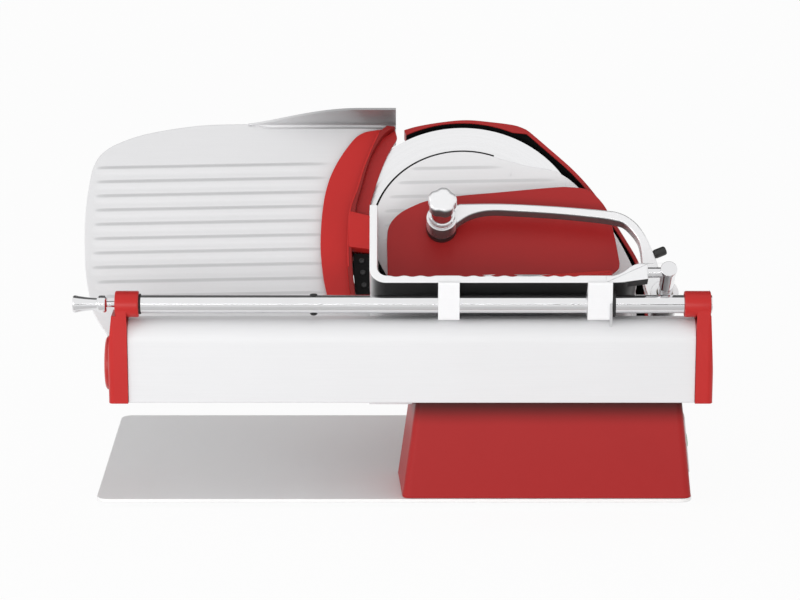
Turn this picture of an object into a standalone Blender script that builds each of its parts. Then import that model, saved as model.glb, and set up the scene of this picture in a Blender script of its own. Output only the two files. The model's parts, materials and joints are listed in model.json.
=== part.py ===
"""Gravity-feed meat slicer with a red body, a sloping carriage and a 250 mm blade.

Metres, +Z up. X runs along the carriage travel, Y runs away from the carriage side, and the origin is
on the standing surface under the middle of the machine. Most pieces are drawn in one of two frames:
the side frame has depth from the front, height over the base plate and the world X, and the blade
frame has x, the way up the blade and the distance out of the blade plane towards the carriage.
"""
import math

import bmesh
import bpy
from mathutils import Euler, Matrix, Vector

GAP = 0.0003                    # gap between pieces that touch

# Base plate, feet and pedestal
PLATE_LEFT, PLATE_RIGHT = -0.2947, 0.3017
PLATE_OVERHANG, PLATE_DEPTH, PLATE_CORNER, PLATE_THICK = 0.0016, 0.2955, 0.012, 0.004
FOOT_HEIGHT, FOOT_RADIUS, FOOT_INSET = 0.006, 0.014, 0.050
PEDESTAL_LEFT, PEDESTAL_RIGHT, PEDESTAL_DEPTH, PEDESTAL_WALL = 0.0114, 0.3010, 0.092, 0.004
DRAFT_LEFT, DRAFT_RIGHT, DRAFT_FRONT, PEDESTAL_CORNER = 0.0139, 0.0108, 0.006, 0.008
FLARE_LEFT = 0.005              # how far the left face steps out from the front to the back

# Machine position on the plate
FRONT_Y = -0.1497
DECK_Z = FOOT_HEIGHT + GAP + PLATE_THICK

# Blade and its tilted frame
TILT = math.radians(40)
BLADE_X, BLADE_DEPTH, BLADE_HEIGHT = 0.0758, 0.198, 0.2234
AXLE_UP = 0.0039                # the spin axis, up the blade from the frame's origin
BLADE_RADIUS, BLADE_RING, BLADE_THICK, BLADE_DISH, BLADE_BORE = 0.125, 0.017, 0.0025, 0.004, 0.020
SCREW_CIRCLE, SCREW_RADIUS, SCREW_HEAD = 0.029, 0.0025, 0.005

# Carriage table
TABLE_LEFT, TABLE_SURFACE, TABLE_THICK, TABLE_INNER, TABLE_OUTER = -0.0965, -0.1174, 0.0084, 0.006, 0.146
TABLE_RIGHT, TABLE_WALL, WALL_TOP_INNER, WALL_TOP_OUTER = 0.168, 0.0075, 0.022, -0.0395
WAVE_HEIGHT = 0.00125

# Carriage rail, under the table's outer edge
RAIL_RADIUS, RAIL_DEPTH, RAIL_CLEARANCE = 0.0091, 0.010, 0.01863
RAIL_HEIGHT = BLADE_HEIGHT - RAIL_CLEARANCE + (
    TABLE_SURFACE - TABLE_THICK + math.sin(TILT) * (BLADE_DEPTH - RAIL_DEPTH)) / math.cos(TILT)
HOUSING_LEFT, HOUSING_RIGHT, RAIL_PLAY = -0.2600, 0.3018, 0.0004
RAIL_LEFT, RAIL_RIGHT = HOUSING_LEFT - 0.0040, HOUSING_RIGHT + 0.0155
BOSS_RADIUS, BOSS_LEFT, BOSS_LEFT_END = 0.013, HOUSING_LEFT - 0.0115, HOUSING_LEFT + 0.0117
BOSS_RIGHT, BOSS_RIGHT_END = HOUSING_RIGHT - 0.0119, HOUSING_RIGHT + 0.0140
EAR_STEP, EAR_DROP, SEAL_WIDTH, SEAL_RADIUS = 0.0007, 0.0095, 0.002, 0.0101
PIN_X, PIN_RADIUS, PIN_ABOVE, PIN_BELOW = -0.0758, 0.0037, 0.0008, 0.0022

# Front housing, an extrusion along X that hangs from the rail and the blade
BLADE_OVER_BOTTOM, BLADE_BEHIND_BACK, RAIL_OVER_TOP, SHOULDER_DROP = 0.124, 0.101, 0.0168, 0.0215
HOUSING_BOTTOM, HOUSING_BACK = BLADE_HEIGHT - BLADE_OVER_BOTTOM, BLADE_DEPTH - BLADE_BEHIND_BACK
HOUSING_TOP = RAIL_HEIGHT - RAIL_OVER_TOP
HOUSING_SHOULDER = HOUSING_TOP - SHOULDER_DROP
HOUSING_CROWN, HOUSING_WALL, HOUSING_SLOPE = 0.018, 0.003, -0.1413
CAP_MARGIN, CAP_FOOT, CAP_LEFT_THICK, CAP_RIGHT_THICK = 0.002, 0.0005, 0.0194, 0.0177
BRACKET_LEFT, BRACKET_FRONT, BRACKET_BACK, BRACKET_DROP = -0.0213, 0.030, 0.088, 0.010

# Lock knob at the left end of the rail
KNOB_TIP, KNOB_TIP_RADIUS = HOUSING_LEFT - 0.0534, 0.0087
KNOB_NECK, KNOB_NECK_RADIUS = HOUSING_LEFT - 0.0295, 0.0064
KNOB_COLLAR, KNOB_COLLAR_RADIUS = HOUSING_LEFT - 0.0198, 0.0086
KNOB_STUB_END, KNOB_STUB_RADIUS = HOUSING_LEFT - 0.0060, 0.003

# Thickness dial, its shaft and its scroll cam
DIAL_AHEAD, DIAL_UNDER, DIAL_RADIUS, DIAL_WIDTH = 0.151, 0.0954, 0.027, 0.0062
DIAL_DEPTH, DIAL_HEIGHT = BLADE_DEPTH - DIAL_AHEAD, BLADE_HEIGHT - DIAL_UNDER
SHAFT_RADIUS, CAM_RADIUS, CAM_RIGHT, CAM_WIDTH, CAM_GROOVE = 0.005, 0.024, -0.1267, 0.0078, 0.0048
DIAL_TURN, SLICE_MAX = math.radians(300), 0.014
SCROLL_START, FOLLOWER_RADIUS, FOLLOWER_PLAY = 0.0055, 0.002, 0.0005

# Gauge plate and its slide
GAUGE_THICK, GAUGE_RIB, GAUGE_CLEARANCE = 0.003, 0.0012, 0.0025
GAUGE_RIGHT, GAUGE_BOTTOM, GAUGE_TOP, FLANGE_THICK = -0.0707, -0.115, 0.1345, 0.0025
RIB_PITCH, RIB_WIDTH, RIB_SLOPE = 0.0168, 0.006, math.radians(1.2)
SLIDE_X, SLIDE_UP, SLIDE_RADIUS, SLIDE_LENGTH = -0.1878, -0.154, 0.007, 0.082
ARM_THICK, ARM_BOSS = 0.0055, 0.012

# Blade housing, drive and rear cover
DISH_RADIUS, RING_WALL, HUB_RADIUS, WEB_THICK, WEB_BACK = 0.1306, 0.0045, 0.104, 0.005, -0.0201
BEARING_RADIUS, BEARING_WIDTH, BEARING_WALL, BEARING_END = 0.020, 0.009, 0.0065, -0.055
SPINDLE_RADIUS, SPINDLE_BORE, SPINDLE_FLANGE, SPINDLE_END = 0.010, 0.0055, 0.038, -0.0715
PULLEY_RADIUS, MOTOR_PULLEY_RADIUS, PULLEY_RIM, PULLEY_FRONT, PULLEY_WIDTH = 0.050, 0.015, 0.002, -0.057, 0.013
BELT_THICK, BELT_WIDTH, BELT_LIFT = 0.003, 0.009, 0.0008
MOTOR_X, MOTOR_UP, MOTOR_RADIUS, MOTOR_LENGTH = 0.100, -0.070, 0.040, 0.069
MOTOR_FLANGE, MOTOR_SHAFT_RADIUS = 0.048, 0.005
COVER_WALL, COVER_REAR, COVER_RADIUS, COVER_MOTOR_RADIUS = 0.003, -0.076, 0.070, 0.052
TIE_RADIUS, TIE_KNOB_RADIUS, TIE_KNOB_LENGTH = 0.004, 0.016, 0.018

# Blade cover
COVER_DISC, COVER_LOW, COVER_THICK = 0.0949, 0.0008, 0.002

# Carriage blocks, guide rod, skid and guard
BLOCK_DEPTH, BLOCK_DROP, BLOCK_LEFT_X, BLOCK_RIGHT_X, BLOCK_WIDTH = 0.022, 0.0143, 0.047, 0.1943, 0.021
BLOCK_BOTTOM = RAIL_HEIGHT - BLOCK_DROP
CLIP_DROP, CLIP_RISE, CLIP_WIDTH = 0.0205, 0.0035, 0.0028
ROD_X, ROD_UP, ROD_RADIUS, ROD_HEAD, ROD_END = 0.1985, -0.1119, 0.0075, 0.0082, 0.150
STUB_RADIUS, STUB_RISE, LUG_DEPTH, LUG_RIGHT, LUG_TOP = 0.0052, 0.0005, 0.012, 0.178, -0.1047
SKID_LOW, SKID_HIGH, SKID_LEFT, SKID_RIGHT = 0.040, 0.060, -0.010, 0.090
GUARD_LOW, GUARD_THICK, LIP_HEIGHT, GUARD_BLOCK = 0.005, 0.003, 0.011, 0.012
SUPPORT_LOW, SUPPORT_HIGH = -0.0780, -0.0245

# Pusher
PLATE_Q, PUSHER_THICK, PUSHER_BOTTOM = 0.0415, 0.003, -0.1145
POST_X, POST_UP, POST_RADIUS, SLEEVE_RADIUS, SLEEVE_LENGTH = -0.0236, -0.0149, 0.006, 0.0157, 0.0075
ARM_LOW, ARM_HIGH, HUB_LOW, HUB_HIGH, HUB_OUTER = 0.056, 0.070, 0.050, 0.096, 0.0140
BUSHING_WALL = 0.0022
KNOB_LENGTH, KNOB_RADIUS, KNOB_LOBES = 0.0395, 0.0142, 6
BUMPER_RADIUS, BUMPER_LENGTH, BUMPER_ANGLE = 0.0047, 0.013, math.radians(24)
SPIKE_HEIGHT, SPIKE_RADIUS = 0.004, 0.0018

# Switches and cord entry
BUTTON_RADIUS, BUTTON_FLANGE, BUTTON_HEIGHT, BUTTON_SPACING = 0.0077, 0.0092, 0.0030, 0.026
PANEL_WIDTH, PANEL_HEIGHT, PANEL_THICK = 0.064, HOUSING_BOTTOM * 0.604, 0.0012
PANEL_BACK, PANEL_UP, SWITCH_DEPTH = 0.050, HOUSING_BOTTOM * 0.503, 0.0085
GLAND_X, GLAND_UP, GLAND_RADIUS, GLAND_LENGTH, CORD_BORE = 0.240, 0.030, 0.009, 0.018, 0.0038

RED, ALUMINIUM, STEEL, CHROME = "red_paint", "satin_aluminium", "brushed_steel", "chrome"
BLACK, DARK, GREEN, BRASS = "black_plastic", "black_rubber", "green_plastic", "brass"
FINISHES = {                    # colour, roughness, metallic
    RED: ((0.47, 0.030, 0.030, 1), 0.42, 0.0), ALUMINIUM: ((0.80, 0.80, 0.80, 1), 0.35, 0.9),
    STEEL: ((0.72, 0.72, 0.74, 1), 0.25, 1.0), CHROME: ((0.85, 0.85, 0.87, 1), 0.08, 1.0),
    BLACK: ((0.02, 0.02, 0.02, 1), 0.45, 0.0), DARK: ((0.03, 0.03, 0.03, 1), 0.8, 0.0),
    GREEN: ((0.02, 0.30, 0.08, 1), 0.4, 0.0), BRASS: ((0.70, 0.52, 0.20, 1), 0.3, 1.0),
}


def clear_scene():
    for old in list(bpy.data.objects):
        bpy.data.objects.remove(old, do_unlink=True)


def new_collection(name):
    group = bpy.data.collections.new(name)
    bpy.context.scene.collection.children.link(group)
    return group


def material(name):
    found = bpy.data.materials.get(name)
    if found:
        return found
    made = bpy.data.materials.new(name)
    made.use_nodes = True
    shader = made.node_tree.nodes["Principled BSDF"]
    shader.inputs["Base Color"].default_value = FINISHES[name][0]
    shader.inputs["Roughness"].default_value = FINISHES[name][1]
    shader.inputs["Metallic"].default_value = FINISHES[name][2]
    return made


def frame(name, location, rotation=(0, 0, 0), parent=None):
    """An empty that carries pieces; a rotation may be Euler angles or a 3 x 3 matrix."""
    empty = bpy.data.objects.new(name, None)
    empty.location = location
    empty.rotation_euler = rotation.to_euler() if isinstance(rotation, Matrix) else Euler(rotation)
    empty.parent = parent
    PARTS.objects.link(empty)
    return empty


def add(name, mesh, finish, parent, at=(0, 0, 0)):
    """A part with its finish, or a hidden cutter where the finish is None."""
    piece = bpy.data.objects.new(name, mesh)
    piece.parent = parent
    piece.location = at
    if finish is None:
        CUTTERS.objects.link(piece)
        piece.hide_render = True
        piece.display_type = 'WIRE'
    else:
        PARTS.objects.link(piece)
        mesh.materials.append(material(finish))
    return piece


def cut(piece, *tools):
    return combine(piece, 'DIFFERENCE', tools)


def join(piece, *tools):
    return combine(piece, 'UNION', tools)


def combine(piece, operation, tools):
    for tool in tools:
        step = piece.modifiers.new(tool.name, 'BOOLEAN')
        step.operation = operation
        step.solver = 'EXACT'
        step.object = tool
    return piece


def arc(radius, start, end, steps, centre=(0, 0)):
    """Points of an arc between two angles in degrees."""
    angles = [math.radians(start + (end - start) * i / steps) for i in range(steps + 1)]
    return [(centre[0] + radius * math.cos(a), centre[1] + radius * math.sin(a)) for a in angles]


def circle(radius, steps=32, centre=(0, 0)):
    return arc(radius, 0, 360 - 360 / steps, steps - 1, centre)


def rounded_rectangle(left, bottom, right, top, radius, steps=4):
    corners = [(right - radius, top - radius, 0), (left + radius, top - radius, 90),
               (left + radius, bottom + radius, 180), (right - radius, bottom + radius, 270)]
    return [p for x, y, a in corners for p in arc(radius, a, a + 90, steps, (x, y))]


def smooth(points, steps=3):
    """A Catmull-Rom curve through the points, ends included."""
    curve = []
    last = len(points) - 1
    for i in range(last):
        a, b, c, d = (Vector(points[max(0, min(last, k))]) for k in (i - 1, i, i + 1, i + 2))
        for step in range(steps):
            t = step / steps
            p = 0.5 * (2 * b + (c - a) * t + (2 * a - 5 * b + 4 * c - d) * t * t
                       + (3 * b - a - 3 * c + d) * t ** 3)
            curve.append((p.x, p.y))
    return curve + [tuple(points[-1])]


def moved(points, dx, dy):
    return [(x + dx, y + dy) for x, y in points]


def belt_outline(radius_a, centre_b, radius_b, steps=14):
    """The hull of a circle at the origin and a circle at centre_b."""
    distance = math.hypot(*centre_b)
    heading = math.degrees(math.atan2(centre_b[1], centre_b[0]))
    half = math.degrees(math.acos((radius_a - radius_b) / distance))
    return (arc(radius_a, heading + half, heading + 360 - half, steps)
            + arc(radius_b, heading - half, heading + half, steps, centre_b))


def prism_mesh(name, outlines, low, high, soften=0, edges="both"):
    """A flat outline with its holes, filled and raised from low to high, then softened at the rims."""
    curve = bpy.data.curves.new(name, 'CURVE')
    curve.dimensions = '2D'
    curve.fill_mode = 'BOTH'
    curve.extrude = (high - low) / 2
    for points in outlines:
        spline = curve.splines.new('POLY')
        spline.points.add(len(points) - 1)
        for point, (x, y) in zip(spline.points, points):
            point.co = (x, y, 0, 1)
        spline.use_cyclic_u = True
    holder = bpy.data.objects.new(name, curve)
    CUTTERS.objects.link(holder)
    graph = bpy.context.evaluated_depsgraph_get()
    mesh = bpy.data.meshes.new_from_object(holder.evaluated_get(graph))
    bpy.data.objects.remove(holder)
    bm = bmesh.new()
    bm.from_mesh(mesh)
    bmesh.ops.remove_doubles(bm, verts=bm.verts, dist=1e-6)
    bmesh.ops.translate(bm, verts=bm.verts, vec=(0, 0, (low + high) / 2))
    bmesh.ops.dissolve_limit(bm, angle_limit=0.001, verts=bm.verts, edges=bm.edges)
    bmesh.ops.recalc_face_normals(bm, faces=bm.faces)
    if soften:
        wanted = {"both": (low, high), "low": (low,), "high": (high,)}[edges]
        rims = [e for e in bm.edges if any(all(abs(v.co.z - z) < 1e-6 for v in e.verts) for z in wanted)]
        bmesh.ops.bevel(bm, geom=rims, offset=soften, segments=1, profile=0.5, affect='EDGES')
    bm.to_mesh(mesh)
    bm.free()
    return mesh


def plate(name, outline, low, high, finish, parent, holes=(), at=(0, 0, 0), soften=0, edges="both"):
    mesh = prism_mesh(name, [outline, *holes], low, high, soften, edges)
    return add(name, mesh, finish, parent, at)


def box(name, low, high, finish, parent):
    bm = bmesh.new()
    size = [b - a for a, b in zip(low, high)]
    middle = [(a + b) / 2 for a, b in zip(low, high)]
    bmesh.ops.create_cube(bm, size=1, matrix=Matrix.Translation(middle) @ Matrix.Diagonal((*size, 1)))
    mesh = bpy.data.meshes.new(name)
    bm.to_mesh(mesh)
    bm.free()
    return add(name, mesh, finish, parent)


def turned(name, profile, finish, parent, at=(0, 0, 0), steps=24, rotation=(0, 0, 0)):
    """A profile of (radius, height) points, down the outer side, turned about local Z."""
    mesh = bpy.data.meshes.new(name)
    closed = profile[0][0] > 0
    count = len(profile)
    links = [(i, (i + 1) % count) for i in range(count if closed else count - 1)]
    mesh.from_pydata([(r, 0, z) for r, z in profile], links, [])
    piece = add(name, mesh, finish, parent, at)
    piece.rotation_euler = rotation
    screw = piece.modifiers.new("turn", 'SCREW')
    screw.steps = screw.render_steps = steps
    screw.use_merge_vertices = True
    screw.merge_threshold = 1e-6
    return piece


def rod(name, radius, low, high, finish, parent, at=(0, 0, 0), steps=24, rotation=(0, 0, 0), bore=0):
    """A plain rod along local Z, or a ring where it has a bore."""
    inner = [(bore, low), (bore, high)] if bore else [(0, low)]
    start = [] if bore else [(0, high)]
    return turned(name, [*start, (radius, high), (radius, low), *inner], finish, parent, at, steps, rotation)


def housing_outline(inset):
    """The housing's section: flat front, rounded shoulder, crown, and a top that slopes to the blade."""
    front, back = inset, HOUSING_BACK - inset
    bottom, top = HOUSING_BOTTOM + inset, HOUSING_TOP - inset
    rise, run = math.cos(TILT), math.sin(TILT)
    level = run * BLADE_DEPTH + rise * BLADE_HEIGHT + HOUSING_SLOPE - inset
    shoulder = [(HOUSING_CROWN - (HOUSING_CROWN - front) * math.cos(math.radians(a)),
                 HOUSING_SHOULDER + (top - HOUSING_SHOULDER) * math.sin(math.radians(a)))
                for a in range(0, 91, 15)]
    return [(front, bottom), *shoulder, ((level - rise * top) / run, top),
            (back, (level - run * back) / rise), (back, bottom)]


def slope_height(depth, up):
    """Height over the plate, at a depth, of the plane that lies up along the blade from its centre."""
    rise, run = math.cos(TILT), math.sin(TILT)
    return BLADE_HEIGHT + (up - run * (depth - BLADE_DEPTH)) / rise


def build_base():
    plate("base_plate", rounded_rectangle(PLATE_LEFT, FRONT_Y - PLATE_OVERHANG, PLATE_RIGHT,
                                          FRONT_Y - PLATE_OVERHANG + PLATE_DEPTH, PLATE_CORNER),
          DECK_Z - PLATE_THICK, DECK_Z, ALUMINIUM, WORLD)
    back = FRONT_Y - PLATE_OVERHANG + PLATE_DEPTH - FOOT_INSET
    for side, x in (("left", PLATE_LEFT + FOOT_INSET), ("right", PLATE_RIGHT - FOOT_INSET)):
        for end, y in (("front", FRONT_Y - PLATE_OVERHANG + FOOT_INSET), ("back", back)):
            turned(f"foot_{end}_{side}", [(0, FOOT_HEIGHT), (FOOT_RADIUS, FOOT_HEIGHT),
                                          (FOOT_RADIUS * 0.85, 0), (0, 0)], DARK, WORLD, (x, y, 0), 20)


def draft_block(name, inset, low, high, finish):
    """The pedestal's tapered block, drawn in by an inset on the front, back and sides."""
    bm = bmesh.new()
    bmesh.ops.create_cube(bm, size=1)
    for v in bm.verts:
        z = low if v.co.z < 0 else high
        t = (z - DECK_Z) / HOUSING_BOTTOM
        y = FRONT_Y + (DRAFT_FRONT * t + inset if v.co.y < 0 else PEDESTAL_DEPTH - inset)
        left = PEDESTAL_LEFT + DRAFT_LEFT * t - FLARE_LEFT * (y - FRONT_Y) / PEDESTAL_DEPTH + inset
        right = PEDESTAL_RIGHT - DRAFT_RIGHT * t - inset
        v.co = (left if v.co.x < 0 else right, y, z)
    upright = [e for e in bm.edges if abs(e.verts[0].co.z - e.verts[1].co.z) > (high - low) / 2]
    bmesh.ops.bevel(bm, geom=upright, offset=PEDESTAL_CORNER - inset, segments=4, profile=0.5,
                    affect='EDGES')
    bmesh.ops.recalc_face_normals(bm, faces=bm.faces)
    mesh = bpy.data.meshes.new(name)
    bm.to_mesh(mesh)
    bm.free()
    return add(name, mesh, finish, WORLD)


def build_pedestal():
    top = DECK_Z + HOUSING_BOTTOM - GAP
    pedestal = draft_block("pedestal", 0, DECK_Z + GAP, top, RED)
    cut(pedestal, draft_block("pedestal_inside", PEDESTAL_WALL, DECK_Z - PLATE_THICK,
                              top - PEDESTAL_WALL, None),
        box("switch_opening", (-BUTTON_SPACING, -BUTTON_FLANGE - 0.001, -PEDESTAL_WALL * 2),
            (BUTTON_SPACING, BUTTON_FLANGE + 0.001, PEDESTAL_WALL), None, PANEL),
        rod("gland_opening", GLAND_RADIUS, -PEDESTAL_WALL * 2, PEDESTAL_WALL, None, GLAND))
    edge = PEDESTAL_LEFT + DRAFT_LEFT * (HOUSING_BOTTOM - BRACKET_DROP) / HOUSING_BOTTOM - GAP * 2
    right = [(edge - FLARE_LEFT * depth / PEDESTAL_DEPTH, FRONT_Y + depth)
             for depth in (BRACKET_FRONT, BRACKET_BACK)]
    plate("housing_bracket", [(BRACKET_LEFT, FRONT_Y + BRACKET_FRONT), *right,
                              (BRACKET_LEFT, FRONT_Y + BRACKET_BACK)],
          DECK_Z + HOUSING_BOTTOM - BRACKET_DROP, DECK_Z + HOUSING_BOTTOM - GAP, ALUMINIUM, WORLD)


def panel_axes():
    """The switch panel's axes: back along the pedestal's right face, up it, and out of it."""
    out = Vector((1, 0, DRAFT_RIGHT / HOUSING_BOTTOM)).normalized()
    along = Vector((0, 0, 1)).cross(out).normalized()
    return Matrix((along, out.cross(along), out)).transposed()


def build_switches():
    """The panel on the pedestal's right side, with its two sprung buttons and the flat switch behind."""
    half = BUTTON_SPACING / 2
    outline = rounded_rectangle(-PANEL_WIDTH / 2, -PANEL_HEIGHT / 2, PANEL_WIDTH / 2, PANEL_HEIGHT / 2, 0.006)
    holes = [circle(BUTTON_RADIUS + GAP, 24, (x, 0)) for x in (-half, half)]
    plate("switch_panel", outline, GAP, GAP + PANEL_THICK, ALUMINIUM, PANEL, holes)
    for name, x, finish in (("on_button", -half, GREEN), ("off_button", half, BLACK)):
        turned(name, [(0, BUTTON_HEIGHT), (BUTTON_RADIUS - 0.001, BUTTON_HEIGHT),
                      (BUTTON_RADIUS, BUTTON_HEIGHT - 0.001), (BUTTON_RADIUS, 0), (BUTTON_FLANGE, 0),
                      (BUTTON_FLANGE, -0.002), (0, -0.002)], finish, PANEL, (x, 0, 0), 24)
    inner = -PEDESTAL_WALL / math.cos(math.atan(DRAFT_RIGHT / HOUSING_BOTTOM)) - GAP
    box("switch_box", (-BUTTON_SPACING - 0.004, -0.016, inner - SWITCH_DEPTH),
        (BUTTON_SPACING + 0.004, 0.016, inner), BLACK, PANEL)
    turned("cord_gland", [(GLAND_RADIUS + 0.003, 0.004), (GLAND_RADIUS + 0.003, GAP),
                          (GLAND_RADIUS - GAP, GAP), (GLAND_RADIUS - GAP, -PEDESTAL_WALL - 0.003),
                          (CORD_BORE, -PEDESTAL_WALL - 0.003), (CORD_BORE, GLAND_LENGTH),
                          (CORD_BORE + 0.0015, GLAND_LENGTH), (CORD_BORE + 0.003, 0.004)],
           DARK, GLAND, steps=24)


def cap_outline():
    """An end cap's section: the housing's own, a little larger, with an ear round the rail."""
    body = housing_outline(-CAP_MARGIN)
    foot = HOUSING_BOTTOM - CAP_FOOT
    ear = arc(BOSS_RADIUS - 0.0007, 184, 8, 12, (RAIL_DEPTH, RAIL_HEIGHT))
    return [(body[0][0], foot), body[1], *ear, *body[-3:-1], (body[-1][0], foot)]


def build_housing():
    body = plate("front_housing", housing_outline(0), HOUSING_LEFT + GAP, HOUSING_RIGHT - GAP, ALUMINIUM,
                 SIDE, [housing_outline(HOUSING_WALL)])
    slot = SLIDE_RADIUS + 0.002
    cut(body, box("slide_slot", (SLIDE_X - slot, SLIDE_UP - slot - 0.003, -0.030),
                  (SLIDE_X + slot, SLIDE_UP + slot, 0.0135), None, BLADE))
    rail_at = (RAIL_DEPTH, RAIL_HEIGHT, 0)
    bore = RAIL_RADIUS + RAIL_PLAY
    left = plate("end_cap_left", cap_outline(), HOUSING_LEFT - CAP_LEFT_THICK, HOUSING_LEFT, RED, SIDE,
                 soften=0.0015, edges="low")
    notch = HOUSING_LEFT - CAP_LEFT_THICK
    ear_base = RAIL_HEIGHT - EAR_DROP
    cut(left, box("ear_relief_left", (-0.02, ear_base, notch - 0.01), (0.06, 0.24, BOSS_LEFT + EAR_STEP),
              None, SIDE))
    join(left, rod("rail_boss_left", BOSS_RADIUS, BOSS_LEFT, BOSS_LEFT_END, None, SIDE, rail_at, 28))
    stub, seat = KNOB_STUB_RADIUS + GAP, RAIL_LEFT - GAP
    cut(left, turned("rail_bore_left", [(0, BOSS_LEFT_END + 0.01), (bore, BOSS_LEFT_END + 0.01), (bore, seat),
                                        (stub, seat), (stub, notch - 0.01), (0, notch - 0.01)],
                     None, SIDE, rail_at),
        rod("dial_bore", SHAFT_RADIUS + GAP, notch - 0.01, HOUSING_LEFT + 0.01, None, SIDE,
            (DIAL_DEPTH, DIAL_HEIGHT, 0), 24))
    right = plate("end_cap_right", cap_outline(), HOUSING_RIGHT, HOUSING_RIGHT + CAP_RIGHT_THICK, RED, SIDE,
                  soften=0.0015, edges="high")
    far = HOUSING_RIGHT + CAP_RIGHT_THICK
    cut(right, box("ear_relief_right", (-0.02, ear_base, BOSS_RIGHT_END - EAR_STEP), (0.06, 0.24, far + 0.01),
                   None, SIDE))
    join(right, rod("rail_boss_right", BOSS_RADIUS, BOSS_RIGHT, BOSS_RIGHT_END, None, SIDE, rail_at, 28))
    cut(right, rod("rail_bore_right", bore, BOSS_RIGHT - 0.01, far + 0.01, None, SIDE, rail_at))


def build_rail():
    at = (RAIL_DEPTH, RAIL_HEIGHT, 0)
    rail = turned("carriage_rail", [(0, RAIL_RIGHT), (RAIL_RADIUS - 0.001, RAIL_RIGHT),
                                    (RAIL_RADIUS, RAIL_RIGHT - 0.001), (RAIL_RADIUS, RAIL_LEFT), (0, RAIL_LEFT)],
                  CHROME, SIDE, at)
    top, bottom = RAIL_RADIUS + PIN_ABOVE, -RAIL_RADIUS - PIN_BELOW
    cut(rail, rod("pin_hole", PIN_RADIUS + GAP, bottom, top, None, STOP, steps=24))
    turned("rail_stop_pin", [(0, top), (PIN_RADIUS, top), (PIN_RADIUS, bottom + 0.001),
                             (PIN_RADIUS * 0.6, bottom), (0, bottom)], DARK, STOP, steps=24)
    rod("rail_seal", SEAL_RADIUS, BOSS_LEFT_END + GAP, BOSS_LEFT_END + SEAL_WIDTH, DARK, SIDE, at,
        bore=RAIL_RADIUS + GAP)
    stub, collar = KNOB_STUB_RADIUS, KNOB_COLLAR_RADIUS
    turned("lock_knob", [(0, KNOB_STUB_END), (stub, KNOB_STUB_END), (stub, KNOB_COLLAR),
                         (collar * 0.8, KNOB_COLLAR), (collar, KNOB_COLLAR - 0.0025), (collar, KNOB_NECK + 0.0025),
                         (collar * 0.8, KNOB_NECK), (KNOB_NECK_RADIUS, KNOB_NECK),
                         (KNOB_TIP_RADIUS, KNOB_TIP + 0.0015), (KNOB_TIP_RADIUS - 0.0012, KNOB_TIP), (0, KNOB_TIP)],
           CHROME, SIDE, at, 24)


def scroll_outline(half_width):
    """The cam's spiral groove: as the dial turns, the follower moves out at a steady rate."""
    middle = []
    before, after = math.radians(30), math.radians(8)
    heading = -math.atan2(math.sin(TILT), math.cos(TILT))
    for i in range(41):
        turn = -before + (DIAL_TURN + before + after) * i / 40
        radius = SCROLL_START + SLICE_MAX * turn / DIAL_TURN
        middle.append((radius, heading - turn))
    outer = [((r + half_width) * math.cos(a), (r + half_width) * math.sin(a)) for r, a in middle]
    inner = [((r - half_width) * math.cos(a), (r - half_width) * math.sin(a)) for r, a in middle]
    return outer + inner[::-1]


def build_dial():
    axis = (DIAL_DEPTH, DIAL_HEIGHT, 0)
    face = HOUSING_LEFT - CAP_LEFT_THICK - GAP
    tip = face - DIAL_WIDTH * 0.6
    bore = SHAFT_RADIUS + GAP
    outer = face - DIAL_WIDTH
    turned("thickness_dial", [(0, tip - GAP), (bore, tip - GAP), (bore, face), (DIAL_RADIUS, face),
                              (DIAL_RADIUS, outer + 0.002), (DIAL_RADIUS - 0.002, outer), (0, outer)],
           RED, SIDE, axis, 28)
    left = CAM_RIGHT - CAM_WIDTH
    cam = turned("dial_cam_shaft", [(0, CAM_RIGHT), (CAM_RADIUS, CAM_RIGHT), (CAM_RADIUS, left),
                                    (SHAFT_RADIUS, left), (SHAFT_RADIUS, tip), (0, tip)], STEEL, SIDE, axis, 28)
    cut(cam, plate("scroll_groove", scroll_outline(FOLLOWER_RADIUS + FOLLOWER_PLAY),
                   CAM_RIGHT - CAM_GROOVE, CAM_RIGHT + 0.002, None, SIDE, at=axis))


def gauge_outline():
    """The gauge plate: straight top, bulging left end, and a right edge that follows the blade."""
    radius = BLADE_RADIUS + GAUGE_CLEARANCE
    top_angle = math.degrees(math.acos(GAUGE_RIGHT / radius))
    drop = GAUGE_BOTTOM - AXLE_UP
    low_angle = 360 - math.degrees(math.acos(-math.sqrt(radius ** 2 - drop ** 2) / radius))
    left = smooth([(-0.3668, GAUGE_BOTTOM), (-0.3813, -0.0914), (-0.3872, -0.0742), (-0.3942, -0.0338),
                   (-0.3968, 0.0200), (-0.3943, 0.0603), (-0.3901, 0.0842), (-0.3812, 0.0999),
                   (-0.3637, 0.1119), (-0.3322, 0.1234), (-0.2793, 0.1326), (-0.2262, GAUGE_TOP)], 2)
    return [(GAUGE_RIGHT, GAUGE_TOP), *arc(radius, top_angle, low_angle, 24, (0, AXLE_UP)), *left]


def rib_bars(name, rows, low, high, parent):
    """Ribs that rise gently to the right, as raised bars ready to be joined to a plate."""
    bars = []
    for number, (left, right, up) in enumerate(rows):
        half = RIB_WIDTH / 2
        fall = math.tan(RIB_SLOPE) * (right - left)
        outline = [(left, up), (left + half, up - half), (right - half, up + fall - half),
                   (right, up + fall), (right - half, up + fall + half), (left + half, up + half)]
        bars.append(plate(f"{name}_{number}", outline, low, high, None, parent, soften=(high - low) * 0.35,
                          edges="high"))
    return bars


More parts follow.
